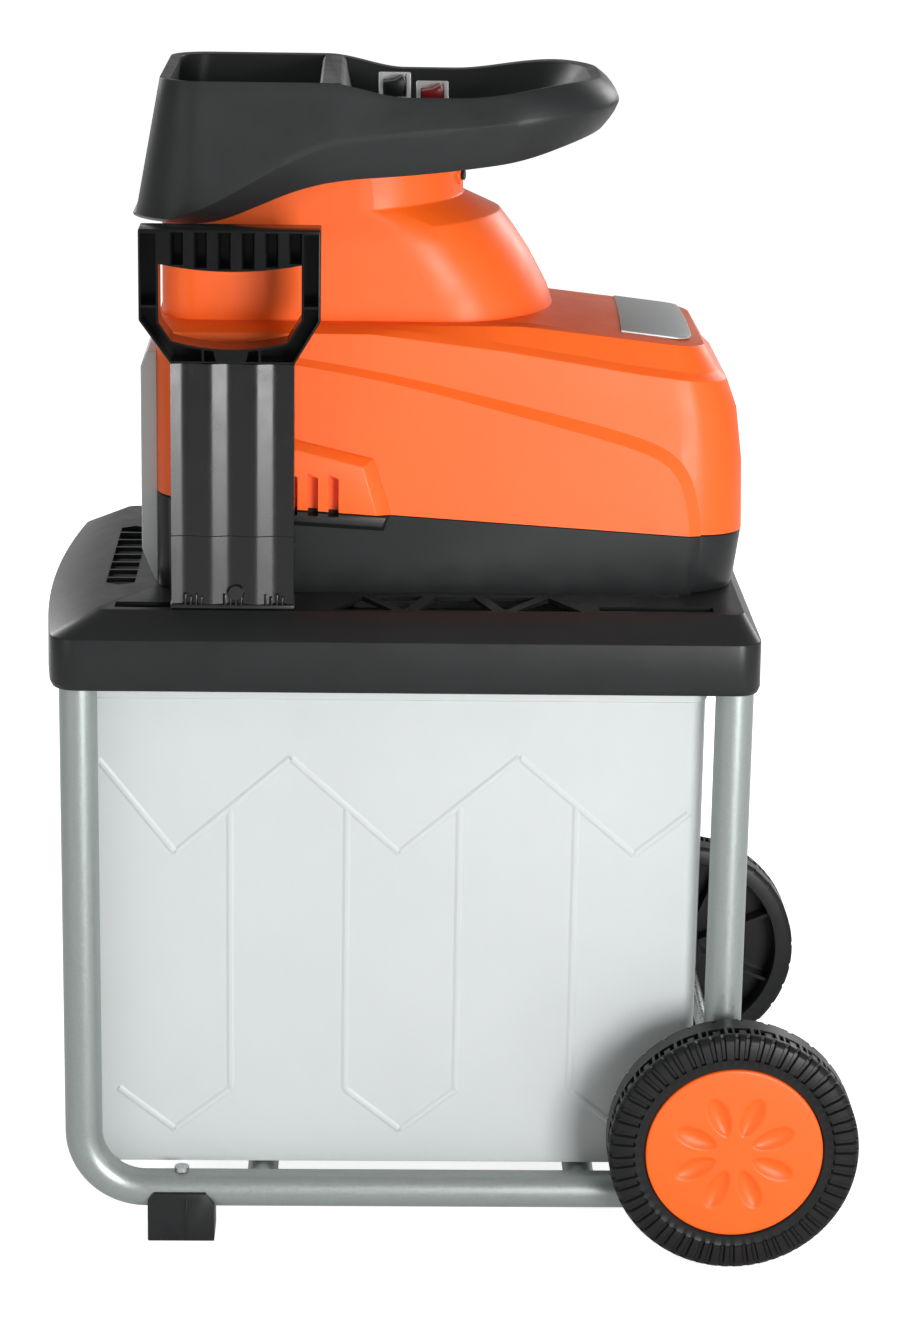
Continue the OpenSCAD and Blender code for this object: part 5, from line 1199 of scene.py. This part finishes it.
# %% [markdown]
# ## Switches
# A small console sits on the tray with two rockers and a reset button. It is a wedge with a pocket for each
# rocker's frame and a collar round the button, whose place is read from its CAD node.

# %% Console
ROCKERS = ((-50.0, 916.05, "direction", black_moulding), (-20.0, 909.4, "power", red_rocker))
CONSOLE_OUTLINE, CONSOLE_NEAR, CONSOLE_FAR = [(-82, 880), (2, 880), (2, 893), (-82, 906)], -44, 24
ROCKER_Y, ROCKER_R, ROCKER_HALF = -16.0, 9.4, 10.4
FRAME_HALF, FRAME_FOOT = ROCKER_R + 3.4, 25
FRAME_NEAR, FRAME_FAR = ROCKER_Y - ROCKER_HALF - 2.6, ROCKER_Y + ROCKER_HALF + 2.6
RESET_COLLAR_R, RESET_COLLAR_FOOT = 7.5, 885
console = prism("console", CONSOLE_OUTLINE, CONSOLE_NEAR, CONSOLE_FAR)
round_edges(console, 3, 4)
cut(console, [block("pocket", (x - FRAME_HALF, FRAME_NEAR, pivot - FRAME_FOOT),
                    (x + FRAME_HALF, FRAME_FAR, pivot + 6)) for x, pivot, name, finish in ROCKERS])
reset_low, reset_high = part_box("reset_button")
reset_x, reset_y = [(a + b) / 2 / MM for a, b in zip(reset_low[:2], reset_high[:2])]
reset_r = (reset_high[0] - reset_low[0]) / 2 / MM


def upright_ring(r, z):
    return [(x, y, z) for x, y in circle(reset_x, reset_y, r)]


collar_top = reset_high[2] / MM - 4
collar = loft("reset_collar", [upright_ring(RESET_COLLAR_R, RESET_COLLAR_FOOT),
                               upright_ring(RESET_COLLAR_R, collar_top - 0.5),
                               upright_ring(RESET_COLLAR_R - 0.6, collar_top)])
fuse(console, [collar])
cut(console, [loft("reset_hole", [upright_ring(reset_r + 0.2, z) for z in (888, 930)])])
place_piece(console, "machine", black_moulding, "control_panel", angle=35)

# %% [markdown]
# Each rocker stands in a pale frame whose top slopes down to the user's side, so that the coloured flank of
# the rocker shows. The rocker's outline stays inside the circle that it turns in, and its deep foot is narrow
# enough to swing in the frame.

# %% Rockers and their frames
ROCKER_OUTLINE = [(-8.8, 1.9), (0, 3.0), (6.2, 6.4), (8.2, 3.5), (8.9, 0), (7, -5.4), (5, -10.5), (-5, -10.5),
                  (-7, -5.4), (-8.9, 0)]
ROCKER_CAP_HALF, FRAME_HIGH, FRAME_LOW, FRAME_EDGE, OPENING = 10, 7.5, -10.0, 2.4, 13
for x, pivot, name, finish in ROCKERS:
    foot, high, low = pivot - FRAME_FOOT, pivot + FRAME_HIGH, pivot + FRAME_LOW
    section = [(FRAME_NEAR, foot), (FRAME_FAR, foot), (FRAME_FAR, high), (FRAME_FAR - FRAME_EDGE, high),
               (FRAME_NEAR + FRAME_EDGE, low), (FRAME_NEAR, low)]
    ends = (x - FRAME_HALF, x + FRAME_HALF)
    bezel = loft(name + "_bezel", [[(end, y, z) for y, z in section] for end in ends])
    round_edges(bezel, 1.2)
    cut(bezel, [block("opening", (x - ROCKER_R, ROCKER_Y - ROCKER_HALF, pivot - OPENING),
                      (x + ROCKER_R, ROCKER_Y + ROCKER_HALF, pivot + OPENING))])
    place_piece(bezel, "machine", bezel_grey, angle=35)
    rocker = prism(name + "_rocker_cap", [(x + u, pivot + v) for u, v in ROCKER_OUTLINE],
                   ROCKER_Y - ROCKER_CAP_HALF, ROCKER_Y + ROCKER_CAP_HALF)
    round_edges(rocker, 0.7, 2, 20)
    place_piece(rocker, name + "_rocker", finish, name + "_switch", angle=30)

# %% [markdown]
# ## Stage, light and camera
# A white floor and a white world stand in for the studio. Both are white to the camera and through clear
# pieces, and glossy faces see a share of that white. To all other rays the floor doesn't glow and the world
# is dim, so the background adds little light to the machine and the floor keeps its shadow.

# %% Stage
GLOSS_SHARE, FLOOR_GLOW, WORLD_LIGHT, WORLD_WHITE = 0.25, 0.78, 0.29, 1.0


def background_share(tree):
    """One for camera and transmitted rays, and a share for glossy ones."""
    path = tree.nodes.new("ShaderNodeLightPath")
    gloss = tree.nodes.new("ShaderNodeMath")
    gloss.operation = "MULTIPLY_ADD"
    gloss.inputs[1].default_value = GLOSS_SHARE
    tree.links.new(path.outputs["Is Glossy Ray"], gloss.inputs[0])
    tree.links.new(path.outputs["Is Camera Ray"], gloss.inputs[2])
    both = tree.nodes.new("ShaderNodeMath")
    both.operation = "ADD"
    tree.links.new(gloss.outputs["Value"], both.inputs[0])
    tree.links.new(path.outputs["Is Transmission Ray"], both.inputs[1])
    return both.outputs["Value"]


def strength(tree, share, low, high):
    node = tree.nodes.new("ShaderNodeMapRange")
    node.inputs["To Min"].default_value = low
    node.inputs["To Max"].default_value = high
    tree.links.new(share, node.inputs["Value"])
    return node.outputs["Result"]


white = bpy.data.materials.new("studio_white")
white.use_nodes = True
shader = white.node_tree.nodes["Principled BSDF"]
shader.inputs["Base Color"].default_value = (0.9, 0.9, 0.9, 1)
shader.inputs["Roughness"].default_value = 0.9
shader.inputs["Specular IOR Level"].default_value = 0.0
shader.inputs["Emission Color"].default_value = (1, 1, 1, 1)
white.node_tree.links.new(strength(white.node_tree, background_share(white.node_tree), 0.0, FLOOR_GLOW),
                          shader.inputs["Emission Strength"])
let_go()
bpy.ops.mesh.primitive_plane_add(size=40, location=(0, 0, -0.0005))
floor = bpy.context.active_object
floor.name = "studio_floor"
floor.data.materials.append(white)

world = bpy.data.worlds.new("studio")
bpy.context.scene.world = world
world.use_nodes = True
sky = world.node_tree.nodes["Background"]
sky.inputs["Color"].default_value = (1, 1, 1, 1)
world_strength = strength(world.node_tree, background_share(world.node_tree), WORLD_LIGHT, WORLD_WHITE)
world.node_tree.links.new(world_strength, sky.inputs["Strength"])
print("stage", floor.name, "and world", world.name)

# %% [markdown]
# The key lamp stands low and to the right of the camera. It lights upright faces more than upward ones, and
# it throws the handle's shadow across the finger gap. Weak lamps at the left and the right lift the ends of
# the machine, and two behind keep the other views readable.

# %% Lamps
def soft_light(name, place, target, width, height, power):
    lamp = bpy.data.lights.new(name, "AREA")
    lamp.shape = "RECTANGLE"
    lamp.size = width
    lamp.size_y = height
    lamp.energy = power
    obj = bpy.data.objects.new(name, lamp)
    bpy.context.scene.collection.objects.link(obj)
    obj.location = place
    obj.rotation_euler = (Vector(target) - Vector(place)).to_track_quat("-Z", "Y").to_euler()
    obj.visible_camera = False


soft_light("key", (1.25, -2.95, 0.7), (0, 0, 0.6), 1.0, 1.3, 84)
soft_light("left", (-2.4, -2.4, 0.8), (0, 0, 0.5), 1.6, 1.4, 12)
soft_light("right", (3.0, -1.3, 0.8), (0, 0, 0.5), 1.6, 1.4, 7)
for side in (-1, 1):
    soft_light("rear", (2.0 * side, 2.4, 1.6), (0, 0, 0.5), 1.4, 1.2, 34)
print("lamps of", [lamp.energy for lamp in bpy.data.lights], "W")

# %% [markdown]
# The camera was solved from the photograph: a long lens at about fifteen degrees above the horizon, nearly
# square to the flank.

# %% Camera
LENS_PX, LONG_SIDE_PX, SENSOR_MM = 3500.0, 1318, 36.0
CAMERA_PLACE = (-0.0716, -2.8212, 1.2252)
YAW, PITCH, ROLL = (math.radians(a) for a in (1.544, 15.62, 0.92))
ahead = Vector((math.sin(YAW) * math.cos(PITCH), math.cos(YAW) * math.cos(PITCH), -math.sin(PITCH)))
right = Vector((math.cos(YAW), -math.sin(YAW), 0))
up = right.cross(ahead)
across = right * math.cos(ROLL) + up * math.sin(ROLL)
upward = up * math.cos(ROLL) - right * math.sin(ROLL)
camera_data = bpy.data.cameras.new("photo_camera")
camera_data.sensor_width = SENSOR_MM
camera_data.lens = LENS_PX * SENSOR_MM / LONG_SIDE_PX
camera_data.clip_end = 50
camera = bpy.data.objects.new("photo_camera", camera_data)
bpy.context.scene.collection.objects.link(camera)
pose = Matrix((across, upward, -ahead)).transposed().to_4x4()
pose.translation = Vector(CAMERA_PLACE)
camera.matrix_world = pose
bpy.context.scene.camera = camera
bpy.context.scene.view_settings.view_transform = "Standard"
print("lens", round(camera_data.lens, 1), "mm")
